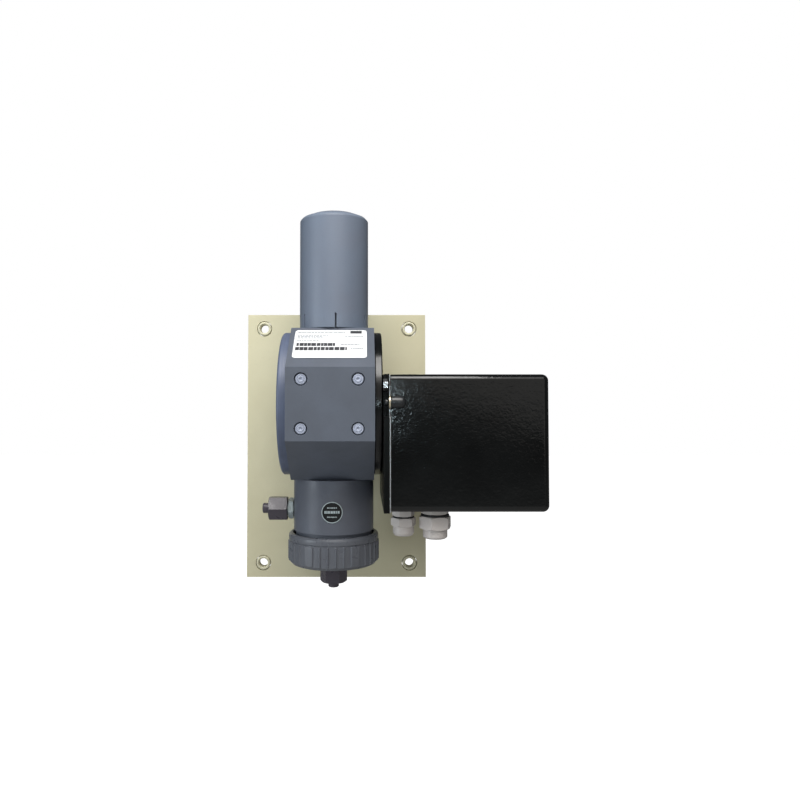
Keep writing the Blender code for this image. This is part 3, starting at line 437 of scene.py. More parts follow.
def turned_stock(name, colour, roughness, axis, centre=(0, 0, 0), metallic=0.0, scale=1900.0, depth=0.4):
    """Stock cut on a lathe: fine rings round the axis in relief, in gloss and a little in colour."""
    made, tree, shader = new_material(name, colour, roughness, metallic)
    rings = lathe_marks(tree, axis, centre, scale)
    bumped(tree, shader, rings, depth, 0.00010)
    feed(tree, shader.inputs["Roughness"], ranged(tree, rings, roughness - 0.07, roughness + 0.08))
    cloud = ranged(tree, noise(tree, 55.0, 5.0), 0.0, 1.0)
    base = mixed(tree, cloud, scaled(colour, 0.86), scaled(colour, 1.12))
    base = mixed(tree, ranged(tree, rings, 0.0, 0.4, 0.5, 0.8), base, scaled(colour, 0.75))
    feed(tree, shader.inputs["Base Color"], base)
    return made


PLATE = surface("plate_plastic", (0.70, 0.665, 0.47), 0.46, mottle=0.035, mottle_scale=14.0, grain=0.30,
                grain_scale=900.0, tint=(0.655, 0.615, 0.42), wear_and_highlight=0.25)
INSERT = surface("insert_plastic", (0.72, 0.69, 0.50), 0.38, mottle=0.03, grain=0.15)
BLOCK = surface("block_plastic", (0.106, 0.122, 0.155), 0.44, mottle=0.07, mottle_scale=38.0, grain=0.35,
                grain_scale=1100.0, tint=(0.098, 0.112, 0.140), wear_and_highlight=0.55)
SLEEVE = surface("sleeve_plastic", (0.152, 0.188, 0.248), 0.44, mottle=0.05, mottle_scale=30.0, grain=0.30,
                 grain_scale=1200.0, tint=(0.158, 0.183, 0.236), wear_and_highlight=0.4)
SIDE = turned_stock("side_cover_plastic", (0.118, 0.145, 0.222), 0.42, "X", scale=1500.0, depth=0.3)
NECK = surface("neck_plastic", (0.118, 0.133, 0.166), 0.40, mottle=0.06, mottle_scale=32.0, grain=0.30,
               grain_scale=1200.0, tint=(0.112, 0.122, 0.148), wear_and_highlight=0.5)
UNION = surface("union_plastic", (0.122, 0.131, 0.152), 0.30, mottle=0.07, grain_scale=1300.0, wear_and_highlight=0.55)
DISC = turned_stock("turned_black", (0.0030, 0.0036, 0.0038), 0.18, "X", scale=2600.0)
ENAMEL = hammertone("black_enamel", (0.0030, 0.0036, 0.0037))
BLACK = surface("black_paint", (0.0035, 0.004, 0.004), 0.34, specular=0.12, mottle=0.12, mottle_scale=70.0,
                grain=0.2, grain_scale=700.0, wear_and_highlight=0.5)
CAP = turned_stock("cap_plastic", (0.390, 0.430, 0.535), 0.34, "Y", scale=800.0, depth=0.2)
PAPER = surface("label_paper", (0.90, 0.91, 0.92), 0.34, mottle=0.015, grain=0.08, grain_scale=2200.0)
INK = surface("label_ink", (0.035, 0.036, 0.042), 0.45, mottle=0.15, mottle_scale=300.0, grain=0.1)
GREY_INK = surface("label_grey_ink", (0.26, 0.28, 0.31), 0.45, mottle=0.15, mottle_scale=300.0, grain=0.1)
STICKER = surface("sticker_film", (0.006, 0.007, 0.008), 0.34, mottle=0.1, grain=0.08)
PALE_INK = surface("sticker_ink", (0.46, 0.54, 0.56), 0.40, mottle=0.1, mottle_scale=400.0, grain=0.1)
GLAND = surface("gland_plastic", (0.64, 0.60, 0.57), 0.24, mottle=0.05, mottle_scale=50.0, grain=0.12,
                tint=(0.56, 0.52, 0.50), wear_and_highlight=0.3)
RUBBER = surface("black_rubber", (0.015, 0.015, 0.016), 0.62, mottle=0.1, grain=0.4, grain_scale=1800.0)
# Painted highlight: the outlet body's pale bluish colour stands in for the sheen on its lit facet.
OUTLET_BODY_SHEEN = surface("fitting_painted_sheen", (0.43, 0.50, 0.51), 0.24, mottle=0.05, grain=0.12, wear_and_highlight=0.4)
FITTING = surface("fitting_plastic", (0.070, 0.061, 0.078), 0.30, mottle=0.07, grain=0.2, wear_and_highlight=0.55)
BRASS = turned_stock("brass", (0.78, 0.70, 0.52), 0.36, "X", (0, -76, 1.4), metallic=1.0, scale=2400.0)
GEAR_BRASS = surface("gear_brass", (0.62, 0.47, 0.22), 0.32, 1.0, mottle=0.06, grain=0.2, wear_and_highlight=0.3)
STEEL = turned_stock("turned_steel", (0.56, 0.56, 0.57), 0.28, "X", metallic=1.0, scale=2600.0, depth=0.3)
SHEET = surface("sheet_steel", (0.52, 0.53, 0.54), 0.36, 1.0, mottle=0.05, stretch=(1, 1, 0.06), grain=0.3,
                grain_scale=1600.0, wear_and_highlight=0.3)
WIRE = surface("spring_steel", (0.42, 0.42, 0.43), 0.30, 1.0, mottle=0.06, grain=0.15)
ALLOY = surface("light_alloy", (0.60, 0.61, 0.62), 0.38, 1.0, mottle=0.05, grain=0.3,
                grain_scale=900.0, wear_and_highlight=0.3)
ROLLER = surface("bearing_plastic", (0.66, 0.65, 0.60), 0.36, mottle=0.03, grain=0.15)
HOSE = surface("hose_rubber", (0.56, 0.51, 0.41), 0.40, mottle=0.06, mottle_scale=60.0, grain=0.2,
               grain_scale=900.0)
DOME = surface("dome_plastic", (0.016, 0.018, 0.020), 0.30, grain=0.3, wear_and_highlight=0.4)


# ---- Plate and block ----


def make_plate():
    lo, hi = span("wall_plate")
    outline = [(lo.x, lo.z), (hi.x, lo.z), (hi.x, hi.z), (lo.x, hi.z)]
    holes = []
    for number in range(1, 5):
        in_lo, in_hi, x, z, radius = seat_of(f"plate_insert_{number}")
        holes.append(shifted(turned(rod(lo.y - 1, hi.y + 1, radius + 0.6), "Y"), x, 0, z))
        bore = radius - 3.0
        ring = [
            (in_lo.y, bore + 1.1), (in_lo.y, radius - 1.0), (in_lo.y + 0.9, radius), (in_hi.y, radius),
            (in_hi.y, bore), (in_lo.y + 1.2, bore),
        ]
        ring = shifted(lathe(ring, 0.4, "Y"), x, 0, z)
        piece(f"plate_insert_ring_{number}", ring, INSERT, f"plate_insert_{number}")
    for name in ("block_screw_top", "block_screw_bottom"):
        s_lo, s_hi, x, z, head = seat_of(name)
        y = hi.y - 5.0
        sink = [(y, 0.0), (y, 3.3), (y + 0.7, 3.3), (y + 6.0, head + 2.0), (y + 6.0, 0.0)]
        holes.append(shifted(turned(sink, "Y"), x, 0, z))
        holes.append(shifted(turned(rod(lo.y - 1, hi.y - 4.5, 3.3), "Y"), x, 0, z))
        screw = [
            (s_lo.y, 0.0), (s_lo.y, 2.2), (s_lo.y + 1.0, 3.0), (s_hi.y - 3.2, 3.0), (s_hi.y - 0.4, head),
            (s_hi.y, head), (s_hi.y, 0.0),
        ]
        shank = lathe(screw, 0.25, "Y")
        socket = prism(hexagon(4.0, 20.0), "Y", s_hi.y - 2.4, s_hi.y + 1.0)
        shank = boolean(shank, [socket])
        piece(f"{name}_fine", shifted(shank, x, 0, z), STEEL, name, bevel=0.15)
    plate = boolean(prism(outline, "Y", lo.y, hi.y), holes)
    piece("back_plate", plate, PLATE, "wall_plate", bevel=0.9)


def make_block():
    lo, hi = span("pump_block")
    front_half, top_half = 31.1, 30.0
    outline = [
        (lo.y, -front_half), (-top_half, lo.z), (top_half, lo.z), (hi.y, -front_half),
        (hi.y, front_half), (top_half, hi.z), (-top_half, hi.z), (lo.y, front_half),
    ]
    bore_r, shoe_r, hose_r, screw_r = 53.0, 22.2, 25.0, 3.3
    cuts = [
        turned(rod(lo.x - 1, hi.x + 1, bore_r), "X", FINE),
        turned(rod(20, hi.z + 1, shoe_r), "Z", FINE),
        turned(rod(lo.z - 1, -20, hose_r), "Z", FINE),
    ]
    for x, z in ((-24.0, 20.0), (24.0, -20.0)):
        cuts.append(shifted(turned(rod(hi.y - 16, hi.y + 1, screw_r), "Y"), x, 0, z))
    for number in range(1, 5):
        cap_lo, cap_hi, x, z, radius = seat_of(f"screw_cap_{number}")
        y, sink_r = lo.y, radius + 0.75
        sink = [(y - 1, 0.0), (y - 1, radius + 1.6), (y + 0.8, sink_r), (y + 4.5, sink_r), (y + 4.5, 0.0)]
        cuts.append(shifted(turned(sink, "Y"), x, 0, z))
        y = cap_lo.y
        cap = [
            (y + 1.0, 0.0), (y + 0.8, 1.0), (y + 0.2, 1.3), (y, 2.0), (y + 0.1, 2.7), (y + 0.55, 2.95),
            (y + 0.55, 3.25), (y + 0.2, 3.5), (y + 0.3, radius - 0.5), (y + 0.8, radius), (cap_hi.y, radius),
            (cap_hi.y, 0.0),
        ]
        cap = shifted(lathe(cap, 0.25, "Y"), x, 0, z)
        piece(f"cap_{number}", cap, CAP, f"screw_cap_{number}")
    block = boolean(prism(outline, "X", lo.x, hi.x), cuts)
    piece("block_body", block, BLOCK, "pump_block", bevel=0.7)


def bars(rows, thickness, lift):
    """Printed bars as thin boxes in one bmesh, from (x0, x1, z0, z1) rows over a label's own plane."""
    shape = bmesh.new()
    for x0, x1, v0, v1 in rows:
        corners = [(x, v, w) for w in (lift, lift + thickness) for v in (v0, v1) for x in (x0, x1)]
        v = [shape.verts.new(corner) for corner in corners]
        for face in ((0, 2, 3, 1), (4, 5, 7, 6), (0, 1, 5, 4), (2, 6, 7, 3), (0, 4, 6, 2), (1, 3, 7, 5)):
            shape.faces.new([v[i] for i in face])
    return shape


def text_row(x0, x1, middle, height, widest):
    """Bars of uneven width with small gaps, as lines of print look from afar. They spell nothing."""
    rows, x = [], x0
    while x < x1 - 0.4:
        width = min(RNG.uniform(0.45, 1.0) * widest, x1 - x)
        rows.append((x, x + width, middle - height / 2, middle + height / 2))
        x += width + RNG.uniform(0.25, 0.6)
    return rows


def make_label():
    """The rating label on the upper chamfer, with rows of plain bars in place of its print."""
    lo, hi = span("rating_label")
    width, height, thickness = hi.x - lo.x, 45.0, 0.30
    angle = math.atan2(69.0 - 31.1, 80.0 - 30.0)
    outward = Vector((0.0, -math.sin(angle), math.cos(angle)))
    middle = (lo + hi) / 2 - outward * 0.02
    at = middle - outward * (thickness / 2)
    sheet = prism(rounded_outline(width - 0.1, height - 0.1, 3.0), "Z", 0.0, thickness)
    piece("label_sheet", sheet, PAPER, "rating_label", bevel=0.05, at=at, tilt=angle)
    left, right = -width / 2 + 2.6, width / 2 - 2.6

    def at_share(share):
        return width * (share - 0.5)

    grey = text_row(left, at_share(0.70), 18.9, 1.5, 5.0)
    for middle_v, reach in ((13.9, 0.46), (11.5, 0.38), (9.2, 0.42), (4.6, 0.34)):
        grey += text_row(left, at_share(reach), middle_v, 1.3, 3.2)
    grey += text_row(at_share(0.70), right, 11.5, 1.3, 3.0)
    grey += text_row(at_share(0.64), at_share(0.90), -1.5, 1.4, 3.0)
    grey += text_row(at_share(0.78), right, -8.2, 1.4, 3.0)
    piece("label_small_print", bars(grey, 0.02, thickness), GREY_INK, None, at=at, tilt=angle)
    black = [(at_share(0.77), at_share(0.93), 16.6, 21.2)]
    for middle_v, share_from, share_to, high in ((-1.5, 0.04, 0.57, 5.0), (-8.2, 0.03, 0.73, 5.3)):
        black += text_row(at_share(share_from), at_share(share_to), middle_v, high, 4.6)
    piece("label_bold_print", bars(black, 0.02, thickness), INK, None, at=at, tilt=angle)


def make_side_covers():
    lo, hi = span("left_cover")
    radius, inner, outer = (hi.z - lo.z) / 2, hi.x, lo.x
    bearing_r = 11.3
    cover = [
        (inner - 7.3, 0.0), (inner - 7.3, bearing_r), (inner, bearing_r), (inner, radius - 0.4),
        (inner - 0.6, radius), (outer + 1.4, radius), (outer, radius - 1.4), (outer, 58.0),
        (outer + 0.5, 57.2), (outer + 0.5, 55.8), (outer, 55.0), (outer, 20.0), (outer + 0.8, 19.0),
        (outer + 0.8, 0.0),
    ]
    piece("left_disc", lathe(cover, 0.45, "X", 240), SIDE, "left_cover", "left_side")
    lo, hi = span("right_cover")
    radius = (hi.z - lo.z) / 2
    cover = [
        (lo.x, bearing_r), (lo.x, radius - 0.5), (lo.x + 0.5, radius), (hi.x - 0.9, radius),
        (hi.x, radius - 0.9), (hi.x, 6.0), (hi.x - 1.0, 6.0), (hi.x - 1.0, bearing_r),
    ]
    piece("right_disc", lathe(cover, 0.3, "X", 240), DISC, "right_cover")
    for name, body in (("left_bearing", "left_side"), ("right_bearing", "frame")):
        lo, hi = span(name)
        outer_r, bore, race, step = (hi.z - lo.z) / 2, 4.3, 2.3, 0.5
        ring = [
            (lo.x, bore), (lo.x, bore + race), (lo.x + step, bore + race), (lo.x + step, outer_r - race),
            (lo.x, outer_r - race), (lo.x, outer_r), (hi.x, outer_r), (hi.x, outer_r - race),
            (hi.x - step, outer_r - race), (hi.x - step, bore + race), (hi.x, bore + race), (hi.x, bore),
        ]
        piece(f"{name}_races", lathe(ring, 0.2, "X", 96), STEEL, name, body)


# ---- Pressure unit ----


def make_pressure_unit():
    lo, hi = span("cover_sleeve")
    foot, top, radius, bore = lo.z, hi.z, (hi.x - lo.x) / 2, 29.2
    shoulder, roof = top - 6.2, top - 3.0
    sleeve = [
        (roof, 0.0), (roof, 22.0), (shoulder - 2.0, bore), (foot, bore), (foot, radius), (shoulder, radius),
        (shoulder + 2.5, radius - 2.2), (top - 0.3, 22.0), (top, 20.5), (top, 0.0),
    ]
    slots, slot_w, slot_h, phase = 6, 1.6, 13.5, 5.0
    cuts = []
    for k in range(slots // 2):
        cut = slab(-slot_w / 2, slot_w / 2, -radius - 2, radius + 2, foot - 1, foot + slot_h)
        turn = Matrix.Rotation(math.radians(phase + 360.0 * k / slots), 4, "Z")
        bmesh.ops.transform(cut, matrix=turn, verts=cut.verts)
        cuts.append(cut)
    shape = boolean(lathe(sleeve, 0.6, "Z", 192), cuts)
    piece("sleeve_shell", shape, SLEEVE, "cover_sleeve", "sleeve", bevel=0.12)

    lo, hi = span("spigot")
    spigot_r, spigot_bore = (hi.x - lo.x) / 2, 22.5
    wall = [(lo.z, spigot_bore), (lo.z, spigot_r), (hi.z - 0.8, spigot_r), (hi.z, spigot_r - 0.8)]
    wall.append((hi.z, spigot_bore))
    wall = lathe(wall, 0.4, "Z", FINE)
    piece("spigot_tube", wall, BLOCK, "spigot")
    lo, hi = span("spigot_cap")
    hole = 5.4
    plug = [
        (lo.z, hole), (lo.z, spigot_bore - 0.3), (lo.z + 8.3, spigot_bore - 0.3),
        (lo.z + 8.3, spigot_r - 0.2), (hi.z - 1.2, spigot_r - 0.2), (hi.z, spigot_r - 1.4),
        (hi.z, hole + 1.0), (hi.z - 1.0, hole),
    ]
    piece("spigot_plug", lathe(plug, 0.4, "Z", FINE), BLOCK, "spigot_cap")

    lo, hi = span("adjuster_knob")
    knob_r = (hi.x - lo.x) / 2
    flutes, flute_depth = 18, 0.9

    def fluted(angle, along, r):
        if r < knob_r - 1.0 or not lo.z + 1.6 < along < hi.z - 1.4:
            return r
        return r - flute_depth * (0.5 - 0.5 * math.cos(flutes * angle)) ** 2

    knob = [
        (lo.z, hole), (lo.z, knob_r - 2.0), (lo.z + 1.7, knob_r), (lo.z + 3.0, knob_r), (hi.z - 2.6, knob_r),
        (hi.z - 1.5, knob_r), (hi.z, knob_r - 1.5), (hi.z, 9.0), (hi.z - 0.8, 8.2), (hi.z - 0.8, hole),
    ]
    knob = turned(soften(knob, 0.4), "Z", 288, fluted)
    piece("knob_wheel", knob, BLACK, "adjuster_knob", "knob")

    lo, hi = span("track_shoe")
    shoe_r, shoe_top, spindle_r, track_r = (hi.x - lo.x) / 2, 64.0, 5.0, 49.3
    shoe = [
        (lo.z, 0.0), (lo.z, shoe_r), (shoe_top - 1.0, shoe_r), (shoe_top, shoe_r - 1.0),
        (shoe_top, spindle_r), (hi.z - 0.8, spindle_r), (hi.z, spindle_r - 0.8), (hi.z, 0.0),
    ]
    pitch, thread_depth, thread_from = 1.5, 0.45, 140.0
    spindle = [p for p in shoe if p[0] <= shoe_top]
    turns = int((hi.z - 2.0 - thread_from) / pitch)
    for k in range(turns):
        z = thread_from + k * pitch
        spindle += [(z, spindle_r), (z + pitch / 2, spindle_r - thread_depth)]
    spindle += [p for p in shoe if p[0] > shoe_top]
    shape = boolean(turned(spindle, "Z", 96), [turned(rod(-30, 30, track_r), "X", 320)])
    piece("shoe_body", shape, ROLLER, "track_shoe", "shoe", bevel=0.12)
    make_spring()


def helix_tube(radius, height_of, wire_r, count, per_turn, sides=12):
    """A closed tube along a helix about Z, with its ends capped."""
    shape = bmesh.new()
    centres = []
    for k in range(count + 1):
        angle = 2.0 * math.pi * k / per_turn
        centres.append(Vector((radius * math.cos(angle), radius * math.sin(angle), height_of(k / count))))
    rings = []
    for k, centre in enumerate(centres):
        ahead = centres[min(k + 1, count)] - centres[max(k - 1, 0)]
        across = Vector((centre.x, centre.y, 0.0)).normalized()
        up = ahead.normalized().cross(across)
        angles = [2.0 * math.pi * i / sides for i in range(sides)]
        spokes = [across * math.cos(a) + up * math.sin(a) for a in angles]
        rings.append([shape.verts.new(centre + spoke * wire_r) for spoke in spokes])
    for a, b in zip(rings, rings[1:]):
        for i in range(sides):
            j = (i + 1) % sides
            shape.faces.new((a[i], a[j], b[j], b[i]))
    shape.faces.new(rings[0][::-1])
    shape.faces.new(rings[-1])
    return shape


def make_spring():
    """The pressure spring: close end turns and open ones between."""
    lo, hi = span("shoe_spring")
    wire_r, radius, turns, per_turn, end_turns = 1.1, 10.0, 6, 40, 0.75
    low, high = lo.z + wire_r, hi.z - wire_r

    def height(part):
        turn, end_rise = part * turns, 2.0 * wire_r * end_turns
        if turn < end_turns:
            return low + 2.0 * wire_r * turn
        if turn > turns - end_turns:
            return high - 2.0 * wire_r * (turns - turn)
        middle = (turn - end_turns) / (turns - 2.0 * end_turns)
        return low + end_rise + (high - low - 2.0 * end_rise) * middle

    shape = helix_tube(radius - 0.1, height, wire_r - 0.02, turns * per_turn, per_turn)
    spring = piece("pressure_spring", shape, WIRE, "shoe_spring")
    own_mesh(spring)


# ---- Neck and fittings ----


def make_neck():
    lo, hi = span("neck_tube")
    radius, bore, side_z, groove_top = (hi.x - lo.x) / 2, 32.0, -99.0, -117.9
    lip, lip_r = hi.z - 4.0, 25.5
    wall = [
        (lo.z, bore), (lo.z, radius - 1.9), (groove_top, radius - 1.9), (groove_top, radius), (hi.z, radius),
        (hi.z, lip_r), (lip, lip_r), (lip, bore),
    ]
    hole = shifted(turned(rod(-radius - 5, -bore + 5, 6.2), "X"), 0, 0, side_z)
    shape = boolean(lathe(wall, 0.5, "Z", 200), [hole])
    piece("neck_wall", shape, NECK, "neck_tube", bevel=0.15)
    make_sticker(radius)


def bent(shape, radius):
    """Bends a flat bmesh, drawn over X and Y with its thickness along Z, round the neck's front."""
    for v in shape.verts:
        along, up, out = v.co
        angle, r = along / radius, radius + out
        v.co = (r * math.sin(angle), -r * math.cos(angle), up)
    return shape


def ring_patch(inner, outer, low, high, segments=96, rings=10):
    """A flat ring, or a disc where inner is 0, with enough rings in it to bend."""
    profile = [(low, max(inner, 0.02)), (high, max(inner, 0.02))]
    profile += [(high, inner + (outer - inner) * k / rings) for k in range(1, rings + 1)]
    profile += [(low, outer - (outer - inner) * k / rings) for k in range(rings)]
    return turned(profile, "Z", segments)


def make_sticker(neck_r):
    lo, hi = span("neck_sticker")
    radius, middle, base = (hi.z - lo.z) / 2, (lo.z + hi.z) / 2, 0.3
    at = (0.0, 0.0, middle)
    disc = turned([(0.0, 0.0), *((0.0, radius * k / 12) for k in range(1, 13)),
                   *((0.28, radius * k / 12) for k in range(12, 0, -1)), (0.28, 0.0)], "Z", 96)
    film = bent(shifted(disc, 0, 0, base), neck_r)
    piece("sticker_disc", film, STICKER, "neck_sticker", at=at)
    ring = bent(shifted(ring_patch(radius - 0.75, radius - 0.05, 0.0, 0.02), 0, 0, base + 0.28), neck_r)
    piece("sticker_rim", ring, PALE_INK, None, at=at)
    rows = text_row(-4.3, 4.3, 4.1, 1.0, 1.5) + text_row(-6.7, 6.7, 0.2, 2.3, 2.2)
    rows += text_row(-4.3, 4.3, -4.1, 1.0, 1.5)
    marks = bent(bars(rows, 0.02, base + 0.28), neck_r)
    piece("sticker_print", marks, PALE_INK, None, at=at)


def thread(low, high, radius, bore, pitch=1.25, depth=0.45):
    """A profile of a threaded tube, its thread as rings."""
    points, count = [(low, bore), (low, radius - depth)], int((high - low - 1.0) / pitch)
    for k in range(count):
        z = low + 0.5 + k * pitch
        points += [(z, radius - depth), (z + pitch * 0.5, radius)]
    return points + [(high, radius - depth), (high, bore)]


def make_side_outlet():
    z, bore = -99.0, 2.6
    lo, hi = span("side_fitting_body")
    barrel = [
        (hi.x, bore), (hi.x, 3.0), (hi.x - 0.8, 3.6), (hi.x - 2.6, 3.6), (hi.x - 2.6, 5.9), (-38.5, 5.9),
        (lo.x + 0.8, 5.9), (lo.x, 5.2), (lo.x, bore),
    ]
    flats = hex_nut("X", -42.6, -37.9, 17.0, 3.2, 14.0, (True, False))
    body = boolean(turned(barrel, "X"), [flats], "UNION")
    # The outlet body's pale colour is a painted highlight, standing in for the sheen on its lit facet.
    piece("outlet_body", shifted(body, 0, 0, z), OUTLET_BODY_SHEEN, "side_fitting_body", bevel=0.25)
    lo, hi = span("side_fitting_nut")
    nut = hex_nut("X", lo.x, hi.x, 20.5, 0.0, -2.0)
    nut = boolean(nut, [turned(rod(-52.5, -42.0, 6.2), "X"), turned(rod(-63.0, -52.0, 5.05), "X")])
    nut = shifted(nut, 0, 0, z)
    piece("outlet_nut", nut, FITTING, "side_fitting_nut", "side_nut", bevel=0.45)
    lo, hi = span("side_stub")
    radius = (hi.z - lo.z) / 2
    end = lathe(stub(lo.x, hi.x, radius, bore), 0.3, "X")
    piece("outlet_stub", shifted(end, 0, 0, z), FITTING, "side_stub")


def make_inlet():
    bore = 2.6
    lo, hi = span("end_piece")
    barb_r, flange_r, boss_r, thread_r = 3.6, 35.5, 29.5, 5.9
    seat = -132.4
    end = [
        (hi.z, bore), (hi.z, barb_r - 0.6), (hi.z - 1.0, barb_r), (seat, barb_r), (seat, flange_r),
        (-138.0, flange_r), (-138.0, boss_r), (-146.6, boss_r), (-147.5, boss_r - 0.9), (-147.5, thread_r),
        (lo.z + 0.7, thread_r), (lo.z, thread_r - 0.7), (lo.z, bore),
    ]
    flats = hex_nut("Z", -154.6, -147.0, 20.0, 3.2, -3.0, (True, False))
    body = boolean(turned(end, "Z", 128), [flats], "UNION")
    piece("inlet_end_piece", body, UNION, "end_piece", "end_piece", bevel=0.3)
    lo, hi = span("inlet_nut")
    nut = hex_nut("Z", lo.z, hi.z, 22.0, 0.0, -3.0)
    cuts = [turned(rod(-158.5, -153.0, 6.2), "Z"), turned(rod(-169.0, -158.0, 5.3), "Z")]
    nut = boolean(nut, cuts)
    piece("inlet_nut_fine", nut, FITTING, "inlet_nut", "inlet_nut", bevel=0.45)
    lo, hi = span("inlet_stub")
    radius = (hi.x - lo.x) / 2
    end = lathe(stub(lo.z, hi.z, radius, bore), 0.3, "Z")
    piece("inlet_stub_fine", end, FITTING, "inlet_stub", "end_piece")


def make_union():
    lo, hi = span("union_nut")
    radius = (hi.x - lo.x) / 2
    pitch_deg, first_rib_deg, rib_half_deg, valley, pads = 10.0, 5.0, 1.35, 1.3, 6

    def ribbed(angle, along, r):
        """Rounded ribs each 10 degrees. Each sixth space between them is filled up, as a flat pad."""
        if not lo.z + 2.0 < along < hi.z - 7.0:
            return r
        from_front = math.degrees(angle) - 270.0
        from_rib = (from_front - first_rib_deg + pitch_deg / 2) % pitch_deg - pitch_deg / 2
        pad = (from_front + 30.0 + 180.0 / pads) % (360.0 / pads) - 180.0 / pads
        height = 0.0
        if abs(from_rib) < rib_half_deg:
            height = valley * math.cos(math.pi / 2 * from_rib / rib_half_deg) ** 0.7
        if abs(pad) < pitch_deg / 2:
            flat = radius * math.cos(math.radians(pitch_deg / 2)) / math.cos(math.radians(pad))
            height = flat - radius + valley
        return min(r, radius - valley + height)

    inner = 38.1
    collar = [
        (hi.z, inner), (hi.z, radius - 2.6), (hi.z - 0.8, radius - 1.3), (hi.z - 2.4, radius - 0.6),
        (hi.z - 6.1, radius - 0.6), (hi.z - 6.5, radius - valley - 0.1), (hi.z - 7.3, radius - valley - 0.1),
        (hi.z - 7.7, radius), (lo.z + 3.4, radius), (lo.z + 2.6, radius - valley), (lo.z, radius - 3.4),
        (lo.z, 30.0), (-138.4, 30.0), (-138.4, inner),
    ]
    shape = turned(soften(collar, 0.45, 3), "Z", 1080, ribbed)
    piece("union_ring", shape, UNION, "union_nut", "union")


# ---- Drive ----


def make_flange():
    lo, hi = span("base_flange")
    web_x0, web_x1, pocket_y, pocket_z = 48.4, 49.6, -70.0, -10.6
    bolt_at, screw_at = (-76.0, 16.0), (-76.0, 1.4)
    outline = [(lo.y, lo.z), (hi.y, lo.z), (hi.y, hi.z), (lo.y, hi.z)]
    cuts = [turned(rod(lo.x - 1, hi.x + 1, 6.0), "X")]
    for x0, x1 in ((lo.x - 1, web_x0), (web_x1, hi.x + 1)):
        cuts.append(slab(x0, x1, lo.y - 1, pocket_y, pocket_z, hi.z + 1))
    for (y, z), radius in ((bolt_at, 4.0), (screw_at, 3.1)):
        cuts.append(shifted(turned(rod(web_x0 - 1, web_x1 + 1, radius), "X"), 0, y, z))
    # A seal between flange and cover in pale metal: partly a real part, partly a painted highlight that
    # stands in for the bright line along the joint.
    gasket_highlight_t = 1.0
    flange = boolean(prism(outline, "X", lo.x, hi.x - gasket_highlight_t - 0.2), cuts)
    piece("flange_plate", flange, BLACK, "base_flange", bevel=0.4)
    step_y, step_z = pocket_y + 0.4, pocket_z - 0.2
    low_y, high_y, low_z, high_z = lo.y + 0.4, hi.y - 0.4, lo.z + 0.4, hi.z - 0.4
    outline = [(low_y, low_z), (high_y, low_z), (high_y, high_z), (step_y, high_z), (step_y, step_z)]
    gasket_highlight_strip = prism([*outline, (low_y, step_z)], "X", hi.x - gasket_highlight_t - 0.1, hi.x - 0.1)
    gasket_highlight_strip = boolean(gasket_highlight_strip, [turned(rod(lo.x, hi.x + 1, 6.0), "X")])
    piece("cover_gasket_highlight_strip", gasket_highlight_strip, ALLOY, None, bevel=0.1)
    lo, hi = span("flange_bolt")
    y, z = bolt_at
    shank = [(48.0, 0.0), (48.0, 3.7), (hi.x - 0.5, 3.7), (hi.x, 3.2), (hi.x, 0.0)]
    shank = lathe(shank, 0.2, "X")
    bolt = boolean(hex_nut("X", lo.x, 48.1, 9.0, 0.0, 90.0, (True, False)), [shank], "UNION")
    piece("bolt_fine", shifted(bolt, 0, y, z), STEEL, "flange_bolt", bevel=0.15)
    lo, hi = span("brass_washer")
    radius, y, z = (hi.z - lo.z) / 2, *screw_at
    washer = lathe(tube(lo.x, hi.x, radius, 3.1), 0.25, "X")
    piece("washer_fine", shifted(washer, 0, y, z), BRASS, "brass_washer")
    lo, hi = span("dome_screw")
    cap_r, shank_r, cap_from, dome_from, steps = 5.3, 2.8, 51.7, 59.9, 16
    dome_r = cap_r - 0.35
    dome = [
        (lo.x, 0.0), (lo.x, shank_r - 0.5), (lo.x + 0.6, shank_r), (cap_from, shank_r),
        (cap_from, cap_r - 0.3), (cap_from + 0.3, cap_r), (dome_from - 0.5, cap_r), (dome_from - 0.3, dome_r),
        (dome_from, dome_r),
    ]
    for k in range(1, steps):
        a = math.pi / 2 * k / steps
        dome.append((dome_from + (hi.x - dome_from) * math.sin(a), dome_r * math.cos(a)))
    dome.append((hi.x, 0.0))
    piece("dome_cap", shifted(turned(dome, "X", 96), 0, y, z), DOME, "dome_screw")


def round_box(x0, x1, y0, y1, z0, z1, radius, segments=8):
    """A box with every edge rounded but those of its open end at x0."""
    shape = slab(x0, x1, y0, y1, z0, z1)
    edges = [edge for edge in shape.edges if not all(abs(v.co.x - x0) < 1e-4 for v in edge.verts)]
    bmesh.ops.bevel(shape, geom=edges, offset=radius, segments=segments, profile=0.5, affect="EDGES")
    return shape


